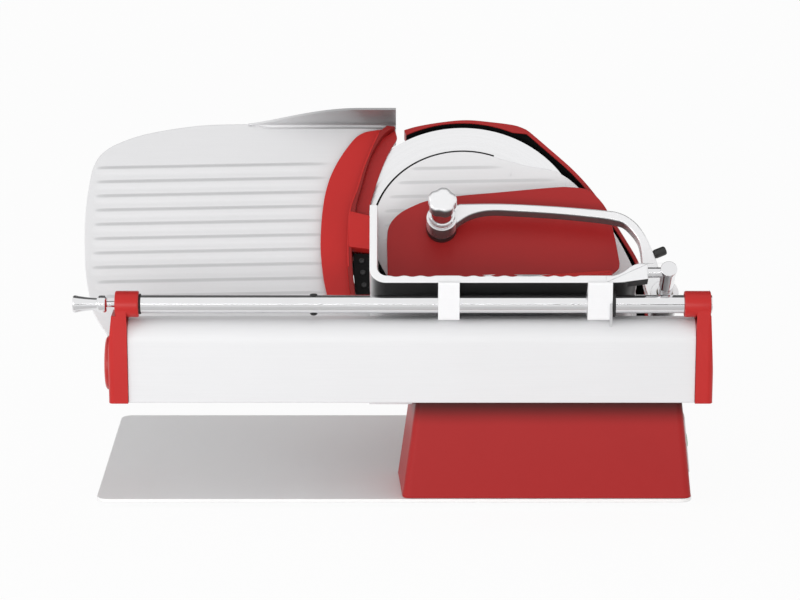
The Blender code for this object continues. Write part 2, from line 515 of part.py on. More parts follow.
def build_gauge():
    face = -GAUGE_RIB
    body = plate("gauge_plate", gauge_outline(), face - GAUGE_THICK, face, ALUMINIUM, BLADE)
    rows = []
    for i in range(10):
        rows.append((-0.389 if i < 8 else -0.379, -0.152, 0.0771 - RIB_PITCH * i))
    flange = [(-0.2300, face - 0.0015), (GAUGE_RIGHT, face - 0.0015), (GAUGE_RIGHT, 0.034), (-0.0985, 0.0335),
              (-0.1304, 0.0300), (-0.1730, 0.0190), (-0.2100, 0.0070)]
    join(body, *rib_bars("gauge_rib", rows, face - 0.001, 0, BLADE))
    join(body, plate("gauge_flange", flange, -GAUGE_TOP, -GAUGE_TOP + FLANGE_THICK, None, FLANGE))
    back = face - GAUGE_THICK - GAP
    bar = SLIDE_RADIUS + GAP
    arm = plate("gauge_arm", [(SLIDE_X - 0.050, -0.040), (SLIDE_X + 0.050, -0.040), (SLIDE_X + 0.050, -0.070),
                              (SLIDE_X + 0.018, -0.115), (SLIDE_X + 0.014, SLIDE_UP), (SLIDE_X - 0.014, SLIDE_UP),
                              (SLIDE_X - 0.018, -0.115), (SLIDE_X - 0.050, -0.070)],
                back - ARM_THICK, back, ALUMINIUM, BLADE)
    bar_at = (SLIDE_X, SLIDE_UP, 0)
    join(arm, rod("arm_boss", ARM_BOSS, -0.022, back, None, BLADE, bar_at, 24),
         plate("arm_rib", [(SLIDE_X - 0.004, -0.050), (SLIDE_X + 0.004, -0.050), (SLIDE_X + 0.004, SLIDE_UP + 0.009),
                           (SLIDE_X - 0.004, SLIDE_UP + 0.009)], -0.018, back - 0.001, None, BLADE))
    cut(arm, rod("arm_bore", bar, -0.030, 0.010, None, BLADE, bar_at, 24))
    build_slide()


def build_slide():
    start = -0.020
    bar_at = (SLIDE_X, SLIDE_UP, 0)
    slide = rod("gauge_slide", SLIDE_RADIUS, start, start + SLIDE_LENGTH, STEEL, BLADE, bar_at, 24)
    out, up = dial_in_blade_frame()
    pin_out = out - SCROLL_START
    plate_left = CAM_RIGHT + 0.0007 - BLADE_X
    join(slide, box("follower_plate", (plate_left, up - 0.008, pin_out - 0.004),
                    (SLIDE_X, SLIDE_UP + SLIDE_RADIUS * 0.8, pin_out + 0.012), None, BLADE),
         rod("follower_pin", FOLLOWER_RADIUS, CAM_RIGHT - CAM_GROOVE + 0.0015, CAM_RIGHT + 0.004, None, SIDE,
             (DIAL_DEPTH + SCROLL_START * math.cos(TILT), DIAL_HEIGHT - SCROLL_START * math.sin(TILT), 0), 16))
    top = HOUSING_SLOPE - HOUSING_WALL - GAP
    guide = box("slide_guide", (SLIDE_X - 0.016, SLIDE_UP - 0.0135, 0.0152), (SLIDE_X + 0.016, top, 0.0302),
                STEEL, BLADE)
    cut(guide, rod("guide_bore", SLIDE_RADIUS + GAP, 0, 0.05, None, BLADE, bar_at, 24))


def dial_in_blade_frame():
    """The dial axis as its distance out of the blade plane and its place up the blade."""
    depth, height = DIAL_DEPTH - BLADE_DEPTH, DIAL_HEIGHT - BLADE_HEIGHT
    return (-math.cos(TILT) * depth + math.sin(TILT) * height,
            math.sin(TILT) * depth + math.cos(TILT) * height)


def casting_side(inset):
    """The right edge of the blade housing, from the ring guard down, drawn in by an inset."""
    drawn = [(0.0718, 0.1238), (0.0913, 0.1044), (0.1155, 0.0796), (0.1336, 0.0569), (0.1513, 0.0290),
             (0.1701, -0.0055), (0.1825, -0.0317), (0.1900, -0.0600)]
    return [(x - inset * 0.85, y - inset * 0.5) for x, y in drawn]


def build_blade_housing():
    side = casting_side(0)
    bottom = -0.150
    top = [(-0.0621, 0.1263), (-0.0472, 0.1311), (-0.0217, 0.1360), (0.0039, 0.1385), (0.0295, 0.1362),
           (0.0550, 0.1323), (0.0676, 0.1272)]
    outline = [*smooth(top, 2), *smooth(side, 2), (side[-1][0], bottom), (-0.020, bottom),
               *arc(HUB_RADIUS, 235, 118, 20)]
    body = plate("blade_housing", outline, WEB_BACK, 0.0005, RED, BLADE)
    inner = casting_side(RING_WALL)
    floor = bottom + 0.022
    dish = [*arc(DISH_RADIUS, 150, 66, 16, (0, AXLE_UP)), *smooth(inner, 2), (inner[-1][0], floor),
            (-0.150, floor), (-0.150, 0.067)]
    cut(body, plate("housing_dish", dish, WEB_BACK + WEB_THICK, 0.010, None, BLADE))
    join(body, rod("bearing_boss", BEARING_RADIUS + BEARING_WALL, BEARING_END, WEB_BACK + 0.002, None, AXLE),
         box("housing_foot", (0.060, FRONT_Y + HOUSING_BACK + GAP, DECK_Z + HOUSING_BOTTOM),
             (0.240, FRONT_Y + HOUSING_BACK + 0.018, DECK_Z + HOUSING_BOTTOM + 0.018), None, WORLD))
    cut(body, rod("bearing_bore", BEARING_RADIUS + GAP, BEARING_END - 0.01, 0, None, AXLE))


def screw_places():
    return [(SCREW_CIRCLE * math.cos(a), SCREW_CIRCLE * math.sin(a))
            for a in (math.radians(90 + 120 * i) for i in range(3))]


def build_blade():
    ring, back = BLADE_RADIUS - BLADE_RING, -BLADE_DISH - BLADE_THICK
    blade = turned("blade", [(BLADE_BORE, -BLADE_DISH), (ring, -BLADE_DISH), (BLADE_RADIUS, 0),
                             (BLADE_RADIUS, -0.0005), (ring + 0.003, back), (BLADE_BORE, back)],
                   STEEL, AXLE, steps=56)
    flange = back - GAP
    spindle = turned("blade_shaft", [(0.009, -0.003), (BLADE_BORE - GAP, -0.003), (BLADE_BORE - GAP, flange),
                                     (SPINDLE_FLANGE, flange), (SPINDLE_FLANGE, -0.011), (SPINDLE_RADIUS, -0.011),
                                     (SPINDLE_RADIUS, SPINDLE_END), (SPINDLE_BORE, SPINDLE_END),
                                     (SPINDLE_BORE, -0.012), (0.009, -0.012)], STEEL, AXLE, steps=28)
    for number, (x, y) in enumerate(screw_places(), 1):
        hole = rod(f"screw_hole_{number}", SCREW_RADIUS + GAP, -0.020, 0.010, None, AXLE, (x, y, 0), 12)
        cut(blade, hole)
        cut(spindle, hole)
        head = -BLADE_DISH + GAP
        turned(f"blade_screw_{number}", [(0, head + 0.0028), (SCREW_HEAD - 0.001, head + 0.0028),
                                         (SCREW_HEAD, head + 0.001), (SCREW_HEAD, head), (SCREW_RADIUS, head),
                                         (SCREW_RADIUS, -0.0108), (0, -0.0108)], STEEL, AXLE, (x, y, 0), 12)
    for name, low in (("front_bearing", -0.029), ("rear_bearing", -0.053)):
        rod(name, BEARING_RADIUS, low, low + BEARING_WIDTH, STEEL, AXLE, bore=SPINDLE_RADIUS + GAP)


def build_cover():
    """The ribbed disc in front of the blade, its wing to the right, and the boss for the tie rod."""
    wing = smooth([(0.0394, 0.0902), (0.0659, 0.0823), (0.0906, 0.0775), (0.1044, 0.0714), (0.1195, 0.0583),
                   (0.1403, 0.0316), (0.1586, 0.0002), (0.1700, -0.0240), (0.1775, -0.0430)], 2)
    outline = [*wing, (0.1775, -0.116), (0.062, -0.116), *arc(COVER_DISC, -55, -293, 28, (0, AXLE_UP))]
    high = COVER_LOW + COVER_THICK
    cover = plate("blade_cover", outline, COVER_LOW, high, ALUMINIUM, BLADE)
    rows = []
    for i in range(11):
        up = 0.0755 - RIB_PITCH * i
        rise = abs(up - AXLE_UP)
        if rise >= COVER_DISC - 0.006:
            continue
        left = -math.sqrt(COVER_DISC ** 2 - max(rise, 0.02) ** 2) + 0.010
        reach = 0.070 if i == 0 else min(0.165, 0.104 + 0.0125 * (i - 1))
        rows.append((left, reach, up - 0.0015))
    join(cover, *rib_bars("cover_rib", rows, high - 0.0005, high + GAUGE_RIB, BLADE))
    join(cover, turned("cover_boss", [(0, high - 0.0005), (0.008, high - 0.0005), (0.008, -0.010),
                                      (TIE_RADIUS + GAP, -0.010), (TIE_RADIUS + GAP, -0.004), (0, -0.004)],
                       None, AXLE, steps=24))


def lobed(radius, depth, lobes, steps=36):
    """A knob outline whose rim swells and dips by a cosine."""
    swell = lambda a: radius + depth * math.cos(lobes * a)
    return [(swell(a) * math.cos(a), swell(a) * math.sin(a))
            for a in (2 * math.pi * i / steps for i in range(steps))]


def build_drive():
    spindle, rim = SPINDLE_RADIUS + GAP, PULLEY_RADIUS + PULLEY_RIM
    back = PULLEY_FRONT - PULLEY_WIDTH
    turned("blade_pulley", [(spindle, PULLEY_FRONT), (rim, PULLEY_FRONT), (rim, PULLEY_FRONT - 0.0013),
                            (PULLEY_RADIUS, PULLEY_FRONT - 0.0015), (PULLEY_RADIUS, back + 0.0015),
                            (rim, back + 0.0013), (rim, back), (spindle, back)], ALUMINIUM, AXLE, steps=32)
    middle = (PULLEY_FRONT + back) / 2
    motor = (MOTOR_X, MOTOR_UP - AXLE_UP)
    large, small = PULLEY_RADIUS + BELT_LIFT, MOTOR_PULLEY_RADIUS + BELT_LIFT
    outer = belt_outline(large + BELT_THICK, motor, small + BELT_THICK)
    inner = belt_outline(large, motor, small)
    plate("drive_belt", outer, middle - BELT_WIDTH / 2, middle + BELT_WIDTH / 2, DARK, AXLE, [inner])
    at = (MOTOR_X, MOTOR_UP, 0)
    wall = COVER_REAR + COVER_WALL
    shaft, face = MOTOR_SHAFT_RADIUS, wall + GAP + 0.003
    rod("motor_pulley", MOTOR_PULLEY_RADIUS, back + 0.0015, PULLEY_FRONT - 0.001, STEEL, BLADE, at,
        bore=shaft + GAP)
    rod("motor_shaft", shaft, face - 0.020, PULLEY_FRONT, STEEL, BLADE, at, 20)
    motor_body(at)


def motor_body(at):
    """The motor can with its mounting flange in front and a blind bore for the shaft."""
    wall = COVER_REAR + COVER_WALL
    face, shaft, tail = wall + GAP + 0.003, MOTOR_SHAFT_RADIUS + GAP, wall - MOTOR_LENGTH
    bore_end = face - 0.020 - GAP
    turned("motor", [(0, bore_end), (shaft, bore_end), (shaft, face), (MOTOR_FLANGE, face),
                     (MOTOR_FLANGE, wall + GAP), (MOTOR_RADIUS, wall + GAP), (MOTOR_RADIUS, tail + 0.004),
                     (MOTOR_RADIUS - 0.004, tail), (0, tail)], STEEL, BLADE, at, 28)


def build_motor_cover():
    motor = (MOTOR_X, MOTOR_UP)
    outer = belt_outline(COVER_RADIUS, motor, COVER_MOTOR_RADIUS)
    inner = belt_outline(COVER_RADIUS - COVER_WALL, motor, COVER_MOTOR_RADIUS - COVER_WALL)
    front = WEB_BACK - GAP
    cover = plate("motor_cover", outer, COVER_REAR, front, RED, BLADE, soften=0.005, edges="low")
    tail = COVER_REAR + COVER_WALL - MOTOR_LENGTH - GAP * 2
    can = MOTOR_RADIUS + GAP * 2
    at = (MOTOR_X, MOTOR_UP, 0)
    join(cover, turned("motor_bulge", [(0, COVER_REAR + 0.001), (can + COVER_WALL, COVER_REAR + 0.001),
                                       (can + COVER_WALL, tail + 0.004),
                                        (can + COVER_WALL - 0.007, tail - COVER_WALL),
                                       (0, tail - COVER_WALL)], None, BLADE, at, 28))
    cut(cover, plate("cover_inside", inner, COVER_REAR + COVER_WALL, front + 0.01, None, BLADE),
        turned("bulge_inside", [(0, COVER_REAR + 0.01), (can, COVER_REAR + 0.01), (can, tail + 0.004),
                                (can - 0.004, tail), (0, tail)], None, BLADE, at, 28),
        rod("tie_bore", TIE_RADIUS + GAP, COVER_REAR - 0.01, 0, None, AXLE, steps=20))
    seat = COVER_REAR - GAP
    tie = rod("cover_tie_knob", TIE_RADIUS, seat - TIE_KNOB_LENGTH + 0.004, -0.0043, BLACK, AXLE, steps=20)
    join(tie, plate("tie_grip", lobed(TIE_KNOB_RADIUS, 0.0012, 8, 40), seat - TIE_KNOB_LENGTH, seat, None, AXLE,
                    soften=0.0015))


def table_outline():
    """The table's front view: a left wall, a rounded corner, a wavy floor and a lipped right end."""
    low = TABLE_SURFACE - TABLE_THICK
    corner_out, corner_in = 0.016, 0.0095
    waves = []
    for start, end, count in ((0.1119, 0.0725, 3), (0.0518, -0.0093, 4), (-0.0300, -0.0782, 3)):
        for i in range(6 * count + 1):
            t = i / (6 * count)
            waves.append((start + (end - start) * t,
                          TABLE_SURFACE - WAVE_HEIGHT * (1 - math.cos(2 * math.pi * count * t)) / 2))
    inner = TABLE_LEFT + TABLE_WALL
    return [(TABLE_LEFT, WALL_TOP_INNER),
            *arc(corner_out, 180, 270, 6, (TABLE_LEFT + corner_out, low + corner_out)),
            (TABLE_RIGHT - 0.018, low), (TABLE_RIGHT - 0.008, low + 0.002), (TABLE_RIGHT, TABLE_SURFACE),
            (TABLE_RIGHT, TABLE_SURFACE + 0.006), (TABLE_RIGHT - 0.006, TABLE_SURFACE + 0.006),
            (TABLE_RIGHT - 0.012, TABLE_SURFACE + 0.001), (TABLE_RIGHT - 0.018, TABLE_SURFACE), *waves,
            *arc(corner_in, 270, 180, 5, (inner + corner_in, TABLE_SURFACE + corner_in)),
            (inner, WALL_TOP_INNER)]


def build_table():
    table = plate("food_table", table_outline(), TABLE_INNER, TABLE_OUTER, ALUMINIUM, BLADE)
    slope = (WALL_TOP_OUTER - WALL_TOP_INNER) / (TABLE_OUTER - TABLE_INNER)
    ends = [(q, WALL_TOP_INNER + slope * (q - TABLE_INNER)) for q in (TABLE_INNER - 0.02, TABLE_OUTER + 0.02)]
    wedge = [(up, q) for q, up in ends] + [(0.08, TABLE_OUTER + 0.02), (0.08, TABLE_INNER - 0.02)]
    cut(table, plate("wall_slope", wedge, TABLE_LEFT - 0.01, TABLE_LEFT + TABLE_WALL + 0.01, None, ACROSS))
    lug = [(TABLE_RIGHT - 0.020, TABLE_SURFACE - TABLE_THICK), (LUG_RIGHT, LUG_TOP - 0.017), (LUG_RIGHT, LUG_TOP),
           (LUG_RIGHT - 0.011, LUG_TOP), (TABLE_RIGHT - 0.009, TABLE_SURFACE + 0.007),
           (TABLE_RIGHT - 0.020, TABLE_SURFACE - 0.001)]
    for name, low in (("front_lug", TABLE_OUTER - LUG_DEPTH), ("rear_lug", TABLE_INNER)):
        join(table, plate(name, lug, low, low + LUG_DEPTH, None, BLADE))
    for name, out in stub_places():
        cut(table, rod(f"{name}_bore", STUB_RADIUS + GAP, LUG_RIGHT - 0.010 + BLADE_X, LUG_RIGHT + 0.01 + BLADE_X,
                       None, SIDE, side_place(ROD_UP + STUB_RISE, out), 20))


def stub_places():
    return (("front_stub", TABLE_OUTER - LUG_DEPTH / 2), ("rear_stub", TABLE_INNER + LUG_DEPTH / 2))


def side_place(up, out):
    """Side frame place of a point that lies up the blade and out of its plane."""
    return (BLADE_DEPTH + math.sin(TILT) * up - math.cos(TILT) * out,
            BLADE_HEIGHT + math.cos(TILT) * up + math.sin(TILT) * out, 0)


def build_guide_rod():
    bar = turned("guide_rod", [(0, ROD_END), (ROD_HEAD - 0.001, ROD_END), (ROD_HEAD, ROD_END - 0.001),
                               (ROD_HEAD, ROD_END - 0.004), (ROD_RADIUS, ROD_END - 0.005),
                               (ROD_RADIUS, TABLE_INNER), (0, TABLE_INNER)], CHROME, BLADE, (ROD_X, ROD_UP, 0))
    for name, out in stub_places():
        join(bar, rod(name, STUB_RADIUS, LUG_RIGHT - 0.0095 + BLADE_X, ROD_X + BLADE_X, None, SIDE,
                      side_place(ROD_UP + STUB_RISE, out), 20))


def build_blocks():
    under = TABLE_SURFACE - TABLE_THICK - GAP
    bore = RAIL_RADIUS + RAIL_PLAY
    outline = [(0, BLOCK_BOTTOM + 0.002), (0.002, BLOCK_BOTTOM), (BLOCK_DEPTH - 0.002, BLOCK_BOTTOM),
               (BLOCK_DEPTH, BLOCK_BOTTOM + 0.002), (BLOCK_DEPTH, slope_height(BLOCK_DEPTH, under)),
               (0, slope_height(0, under))]
    hole = circle(bore, 32, (RAIL_DEPTH, RAIL_HEIGHT))
    for name, left, width in (("slide_block_left", BLOCK_LEFT_X, BLOCK_WIDTH),
                              ("slide_block_right", BLOCK_RIGHT_X, BLOCK_WIDTH + 0.0033)):
        block = plate(name, outline, left, left + width, ALUMINIUM, SIDE, [hole])
        if left < BLOCK_RIGHT_X:
            half = PIN_RADIUS + 0.001
            bottom = RAIL_HEIGHT - RAIL_RADIUS - PIN_BELOW - 0.0008
            top = RAIL_HEIGHT + RAIL_RADIUS + PIN_ABOVE + 0.001
            cut(block, box("pin_way", (RAIL_DEPTH - half, bottom, left - 0.01),
                           (RAIL_DEPTH + half, top, left + width + 0.01),
                           None, SIDE))
    end = BLOCK_RIGHT_X + BLOCK_WIDTH + 0.0033
    rod("rail_wiper", 0.0128, end + GAP, end + 0.0032, DARK, SIDE, (RAIL_DEPTH, RAIL_HEIGHT, 0),
        bore=RAIL_RADIUS + GAP)
    box("carriage_clip", (-0.0018, RAIL_HEIGHT - CLIP_DROP, end - CLIP_WIDTH),
        (-GAP, RAIL_HEIGHT + CLIP_RISE, end), CHROME, SIDE)
    box("carriage_skid", (SKID_LEFT, HOUSING_SLOPE + GAP, SKID_LOW), (SKID_RIGHT, under, SKID_HIGH), BLACK, BLADE)


def build_guard():
    """The hand guard: a crescent with a raised lip, a band inside it, and a block to the table wall."""
    left = [(-0.0802, 0.1235), (-0.0940, 0.1208), (-0.1088, 0.1184), (-0.1172, 0.1100), (-0.1318, 0.0847),
            (-0.1421, 0.0585), (-0.1475, 0.0265), (-0.1492, -0.0145), (-0.1462, -0.0493), (-0.1418, -0.0723)]
    lip_left = [(-0.1170, -0.0780), (-0.1203, -0.0436), (-0.1210, -0.0157), (-0.1192, 0.0221), (-0.1115, 0.0480),
                (-0.1053, 0.0718), (-0.0970, 0.0958), (-0.0897, 0.1138), (-0.0802, 0.1235)]
    lip_right = [(-0.0717, 0.1223), (-0.0844, 0.1114), (-0.0959, 0.0898), (-0.1022, 0.0694), (-0.1073, 0.0480),
                 (-0.1124, 0.0256), (-0.1160, -0.0157), (-0.1155, -0.0436), (-0.1120, -0.0780)]
    band = [(-0.1120, 0.0050), (-0.0992, 0.0050), (-0.0984, 0.0262), (-0.0968, 0.0368), (-0.0927, 0.0523),
            (-0.0875, 0.0701), (-0.0801, 0.0905), (-0.0738, 0.1037), (-0.0696, 0.1122), (-0.0717, 0.1220)]
    low, high = GUARD_LOW, GUARD_LOW + GUARD_THICK
    crescent = [*smooth(left, 2), *smooth([(x + 0.001, y) for x, y in lip_left], 2)[:-1]]
    guard = plate("hand_guard", crescent, low, high, RED, BLADE)
    wall = TABLE_LEFT - GAP
    lip = [*smooth(lip_left, 2), *smooth(lip_right, 2)]
    join(guard, plate("guard_lip", lip, low, low + LIP_HEIGHT, None, BLADE),
         plate("guard_band", [*smooth(band, 2), (-0.0835, 0.1114), (-0.0950, 0.0898), (-0.1012, 0.0694),
                              (-0.1063, 0.0480), (-0.1114, 0.0256)], low, high - 0.0005, None, BLADE),
         plate("guard_block", [(-0.1196, -0.0205), (wall, -0.0237), (wall, 0.0154), (-0.1196, 0.0213)],
               low + 0.001, low + GUARD_BLOCK, None, BLADE, soften=0.0012, edges="high"))
    support = [(-0.1150, SUPPORT_HIGH), (-0.1149, -0.0436), (-0.1114, SUPPORT_LOW), (wall, SUPPORT_LOW),
               (wall, SUPPORT_HIGH)]
    plate("guard_support", support, low, low + GUARD_THICK, BLACK, BLADE)


def build_pusher():
    arm_top = [(-0.0050, 0.0022), (0.0362, 0.0026), (0.0874, 0.0), (0.1385, -0.0046), (0.1589, -0.0081),
               (0.1739, -0.0184), (0.1836, -0.0334), (0.1910, -0.0528), (0.1975, -0.0750), (0.2020, -0.0990)]
    arm_low = [(0.1850, -0.1080), (0.1800, -0.0850), (0.1794, -0.0652), (0.1780, -0.0471), (0.1743, -0.0356),
               (0.1636, -0.0219), (0.1535, -0.0179), (0.1382, -0.0150), (0.0974, -0.0104), (0.0565, -0.0075),
               (0.0258, -0.0064), (0.0052, -0.0115), (-0.0102, -0.0219)]
    outline = moved([*smooth(arm_top, 2), *smooth(arm_low, 2), (-0.0220, -0.0260), (-0.0220, -0.0040)],
                    -ROD_X, -ROD_UP)
    arm = plate("pusher_arm", outline, ARM_LOW, ARM_HIGH, ALUMINIUM, PUSHER, soften=0.002)
    post = (POST_X - ROD_X, POST_UP - ROD_UP, 0)
    join(arm, rod("arm_eye", SLEEVE_RADIUS, ARM_LOW - 0.003, ARM_HIGH + 0.002, None, PUSHER, post),
         rod("arm_hub", HUB_OUTER, HUB_LOW, HUB_HIGH, None, PUSHER))
    cut(arm, rod("eye_bore", POST_RADIUS + GAP, 0, 0.2, None, PUSHER, post),
        rod("hub_bore", ROD_RADIUS + BUSHING_WALL + GAP, 0, 0.2, None, PUSHER))
    rod("arm_bushing", ROD_RADIUS + BUSHING_WALL, HUB_LOW, HUB_HIGH, BRASS, PUSHER, bore=ROD_RADIUS + GAP)
    sleeve = PLATE_Q + PUSHER_THICK + GAP
    eye_front = ARM_HIGH + 0.002
    turned("pusher_post", [(0, eye_front + 0.012), (POST_RADIUS, eye_front + 0.012),
                           (POST_RADIUS, sleeve + SLEEVE_LENGTH),
                           (SLEEVE_RADIUS - 0.001, sleeve + SLEEVE_LENGTH),
                           (SLEEVE_RADIUS, sleeve + SLEEVE_LENGTH - 0.001),
                           (SLEEVE_RADIUS, sleeve), (0, sleeve)], BLACK, PUSHER, post)
    base = eye_front + GAP
    tip = base + KNOB_LENGTH
    bore = POST_RADIUS + GAP
    knob = turned("pusher_knob", [(0, tip - 0.002), (0.0115, tip - 0.002), (0.0115, base + 0.006),
                                  (0.0135, base + 0.005),
                                  (0.0135, base), (bore, base), (bore, eye_front + 0.0125), (0, eye_front + 0.0125)],
                  CHROME, PUSHER, post)
    join(knob, plate("knob_lobes", lobed(KNOB_RADIUS, 0.0014, KNOB_LOBES), tip - 0.014, tip, None, PUSHER, at=post,
                     soften=0.0015))
    right_edge = (0.1912, -0.0532)
    start = (right_edge[0] + 0.0012 - ROD_X, right_edge[1] - ROD_UP, (ARM_LOW + ARM_HIGH) / 2)
    turned("arm_bumper", [(0, BUMPER_LENGTH), (BUMPER_RADIUS - 0.001, BUMPER_LENGTH),
                          (BUMPER_RADIUS, BUMPER_LENGTH - 0.001),
                          (BUMPER_RADIUS, 0), (0, 0)], BLACK, PUSHER, start, 20, (0, math.pi / 2, BUMPER_ANGLE))
    build_pusher_plate()


def build_pusher_plate():
    top = [(-0.0790, -0.0700), (-0.0798, -0.0259), (-0.0767, -0.0086), (-0.0664, 0.0042), (-0.0509, 0.0135),
           (-0.0353, 0.0194), (-0.0042, 0.0246), (0.0373, 0.0287), (0.0893, 0.0340), (0.1101, 0.0346),
           (0.1307, 0.0299), (0.1477, 0.0077), (0.1540, -0.0201), (0.1574, -0.0432), (0.1586, -0.0546),
           (0.1569, -0.0603), (0.1500, -0.0665)]
    outline = moved([*smooth(top, 2), (0.1440, -0.0760), (0.1420, PUSHER_BOTTOM + 0.006), (0.1360, PUSHER_BOTTOM),
                     (-0.0700, PUSHER_BOTTOM), (-0.0770, PUSHER_BOTTOM + 0.007)], -ROD_X, -ROD_UP)
    face = plate("pusher_plate", outline, PLATE_Q, PLATE_Q + PUSHER_THICK, RED, PUSHER)
    for number in range(12):
        x = -0.050 + 0.055 * (number % 4) - ROD_X
        y = -0.095 + 0.040 * (number // 4) - ROD_UP
        join(face, turned(f"spike_{number}", [(0, PLATE_Q + 0.001), (SPIKE_RADIUS, PLATE_Q + 0.001),
                                              (0.0003, PLATE_Q - SPIKE_HEIGHT), (0, PLATE_Q - SPIKE_HEIGHT)], None,
                          PUSHER, (x, y, 0), 8))


clear_scene()
PARTS = new_collection("meat_slicer")
CUTTERS = new_collection("cutters")
CUTTERS.hide_render = True
WORLD = frame("machine", (0, 0, 0))
SIDE = frame("side_frame", (0, FRONT_Y, DECK_Z), (math.pi / 2, 0, math.pi / 2))
STOP = frame("stop_pin_frame", (PIN_X, FRONT_Y + RAIL_DEPTH, DECK_Z + RAIL_HEIGHT))
BLADE = frame("blade_frame", (BLADE_X, FRONT_Y + BLADE_DEPTH, DECK_Z + BLADE_HEIGHT), (math.pi / 2 - TILT, 0, 0))
FLANGE = frame("flange_frame", (0, 0, 0), (math.pi / 2, 0, 0), BLADE)
ACROSS = frame("across_frame", (0, 0, 0), (math.pi / 2, 0, math.pi / 2), BLADE)
PUSHER = frame("pusher_pivot", (ROD_X, ROD_UP, 0), (0, 0, 0), BLADE)
AXLE = frame("axle_frame", (0, AXLE_UP, 0), (0, 0, 0), BLADE)
PANEL = frame("panel_frame", (PEDESTAL_RIGHT - DRAFT_RIGHT * PANEL_UP / HOUSING_BOTTOM,
                              FRONT_Y + PANEL_BACK, DECK_Z + PANEL_UP), panel_axes())
GLAND = frame("gland_frame", (GLAND_X, FRONT_Y + PEDESTAL_DEPTH, DECK_Z + GLAND_UP), (-math.pi / 2, 0, 0))

build_base()
build_pedestal()
build_switches()
build_housing()
build_rail()
build_dial()
build_gauge()
build_blade_housing()
build_blade()
build_cover()
build_drive()
build_motor_cover()
build_table()
build_guide_rod()
build_blocks()
build_guard()
build_pusher()
bpy.context.view_layer.update()
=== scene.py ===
"""The looks of a gravity-feed meat slicer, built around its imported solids.

Metres, +Z up. The axle frame lies on the blade's spin axis: x along the carriage travel, y up the blade,
and z out of the blade plane towards the carriage. The blade frame is the same a little lower, and most
outlines are drawn in it; there the spin axis stands at SPIN. The side frame looks along X: depth, height,
X. GAP is the room between pieces that move past each other or are seated.
"""
import json
import math

import bmesh
import bpy
from bpy.props import FloatProperty, FloatVectorProperty, IntProperty, PointerProperty
from bpy.types import Operator, Panel, PropertyGroup
from mathutils import Matrix, Vector


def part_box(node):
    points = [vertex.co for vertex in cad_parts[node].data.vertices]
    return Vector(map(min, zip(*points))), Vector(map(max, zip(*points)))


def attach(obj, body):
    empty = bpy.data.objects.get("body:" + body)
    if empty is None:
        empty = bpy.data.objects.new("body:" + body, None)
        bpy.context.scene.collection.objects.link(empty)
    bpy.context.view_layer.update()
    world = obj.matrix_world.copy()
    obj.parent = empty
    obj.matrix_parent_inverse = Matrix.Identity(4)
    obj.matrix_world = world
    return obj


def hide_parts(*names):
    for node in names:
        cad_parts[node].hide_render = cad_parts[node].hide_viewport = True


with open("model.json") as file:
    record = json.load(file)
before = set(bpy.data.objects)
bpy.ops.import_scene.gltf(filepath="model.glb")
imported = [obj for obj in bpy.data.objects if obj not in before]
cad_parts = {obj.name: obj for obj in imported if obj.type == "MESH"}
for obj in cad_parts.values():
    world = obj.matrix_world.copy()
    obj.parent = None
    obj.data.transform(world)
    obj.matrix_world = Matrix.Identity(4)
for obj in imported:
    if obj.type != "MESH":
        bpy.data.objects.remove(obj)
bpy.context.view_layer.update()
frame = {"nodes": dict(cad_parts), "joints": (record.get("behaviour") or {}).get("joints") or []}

bl_info = {
    "name": "Meat slicer looks",
    "version": (1, 0, 0),
    "blender": (4, 5, 0),
    "location": "3D View > Sidebar > Slicer",
    "description": "Builds the finished surfaces of a gravity-feed meat slicer around its solids",
    "category": "Object",
}


# Frames of reference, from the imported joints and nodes

def joint(name):
    return next(j for j in frame["joints"] if j["name"] == name)


def turned_to(origin, across, out):
    """A matrix with its x along one direction and its z along another."""
    out, across = Vector(out).normalized(), Vector(across).normalized()
    up = out.cross(across)
    return Matrix.Translation(origin) @ Matrix((across, up, out)).transposed().to_4x4()


HOUSING_BOX, DECK_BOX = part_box("front_housing"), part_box("base_plate")
FRONT_Y, DECK_Z = HOUSING_BOX[0].y, DECK_BOX[1].z
RIGHT, AWAY = (1, 0, 0), joint("blade_spin")["axis"]
WORLD = Matrix.Identity(4)
AXLE = turned_to(joint("blade_spin")["pos_m"], RIGHT, AWAY)
AXLE_UP = 0.0039
SPIN = (0, AXLE_UP)
BLADE = AXLE @ Matrix.Translation((0, -AXLE_UP, 0))
PUSHER = turned_to(joint("pusher_swing")["pos_m"], RIGHT, AWAY)
GRIP = turned_to(joint("pusher_knob_turn")["pos_m"], RIGHT, AWAY)
SIDE = turned_to((0, FRONT_Y, DECK_Z), (0, 1, 0), RIGHT)
RAIL = turned_to((0, *joint("rail_lock_turn")["pos_m"][1:]), (0, 1, 0), RIGHT)
DIAL = turned_to((0, *joint("dial_turn")["pos_m"][1:]), (0, 1, 0), RIGHT)
PRESS = Vector([-v for v in joint("start_press")["axis"]])
UP_BLADE = BLADE.to_3x3() @ Vector((0, 1, 0))
ACROSS = BLADE @ turned_to((0, 0, 0), (0, 1, 0), (1, 0, 0))
FRONT = turned_to((0, 0, 0), RIGHT, (0, -1, 0))
GAP = 0.0003


def reach(node, place=WORLD):
    """The lowest and highest corners of a node, measured in a frame of reference."""
    back = place.inverted()
    points = [back @ v.co for v in frame["nodes"][node].data.vertices]
    return (Vector([min(p[i] for p in points) for i in range(3)]),
            Vector([max(p[i] for p in points) for i in range(3)]))


def middle(node, place=WORLD):
    low, high = reach(node, place)
    return (low + high) / 2


# Outlines

def arc(radius, start, end, steps, centre=(0, 0)):
    """Points of an arc between two angles in degrees."""
    angles = [math.radians(start + (end - start) * i / steps) for i in range(steps + 1)]
    return [(centre[0] + radius * math.cos(a), centre[1] + radius * math.sin(a)) for a in angles]


def circle(radius, steps=64, centre=(0, 0)):
    return arc(radius, 0, 360 - 360 / steps, steps - 1, centre)


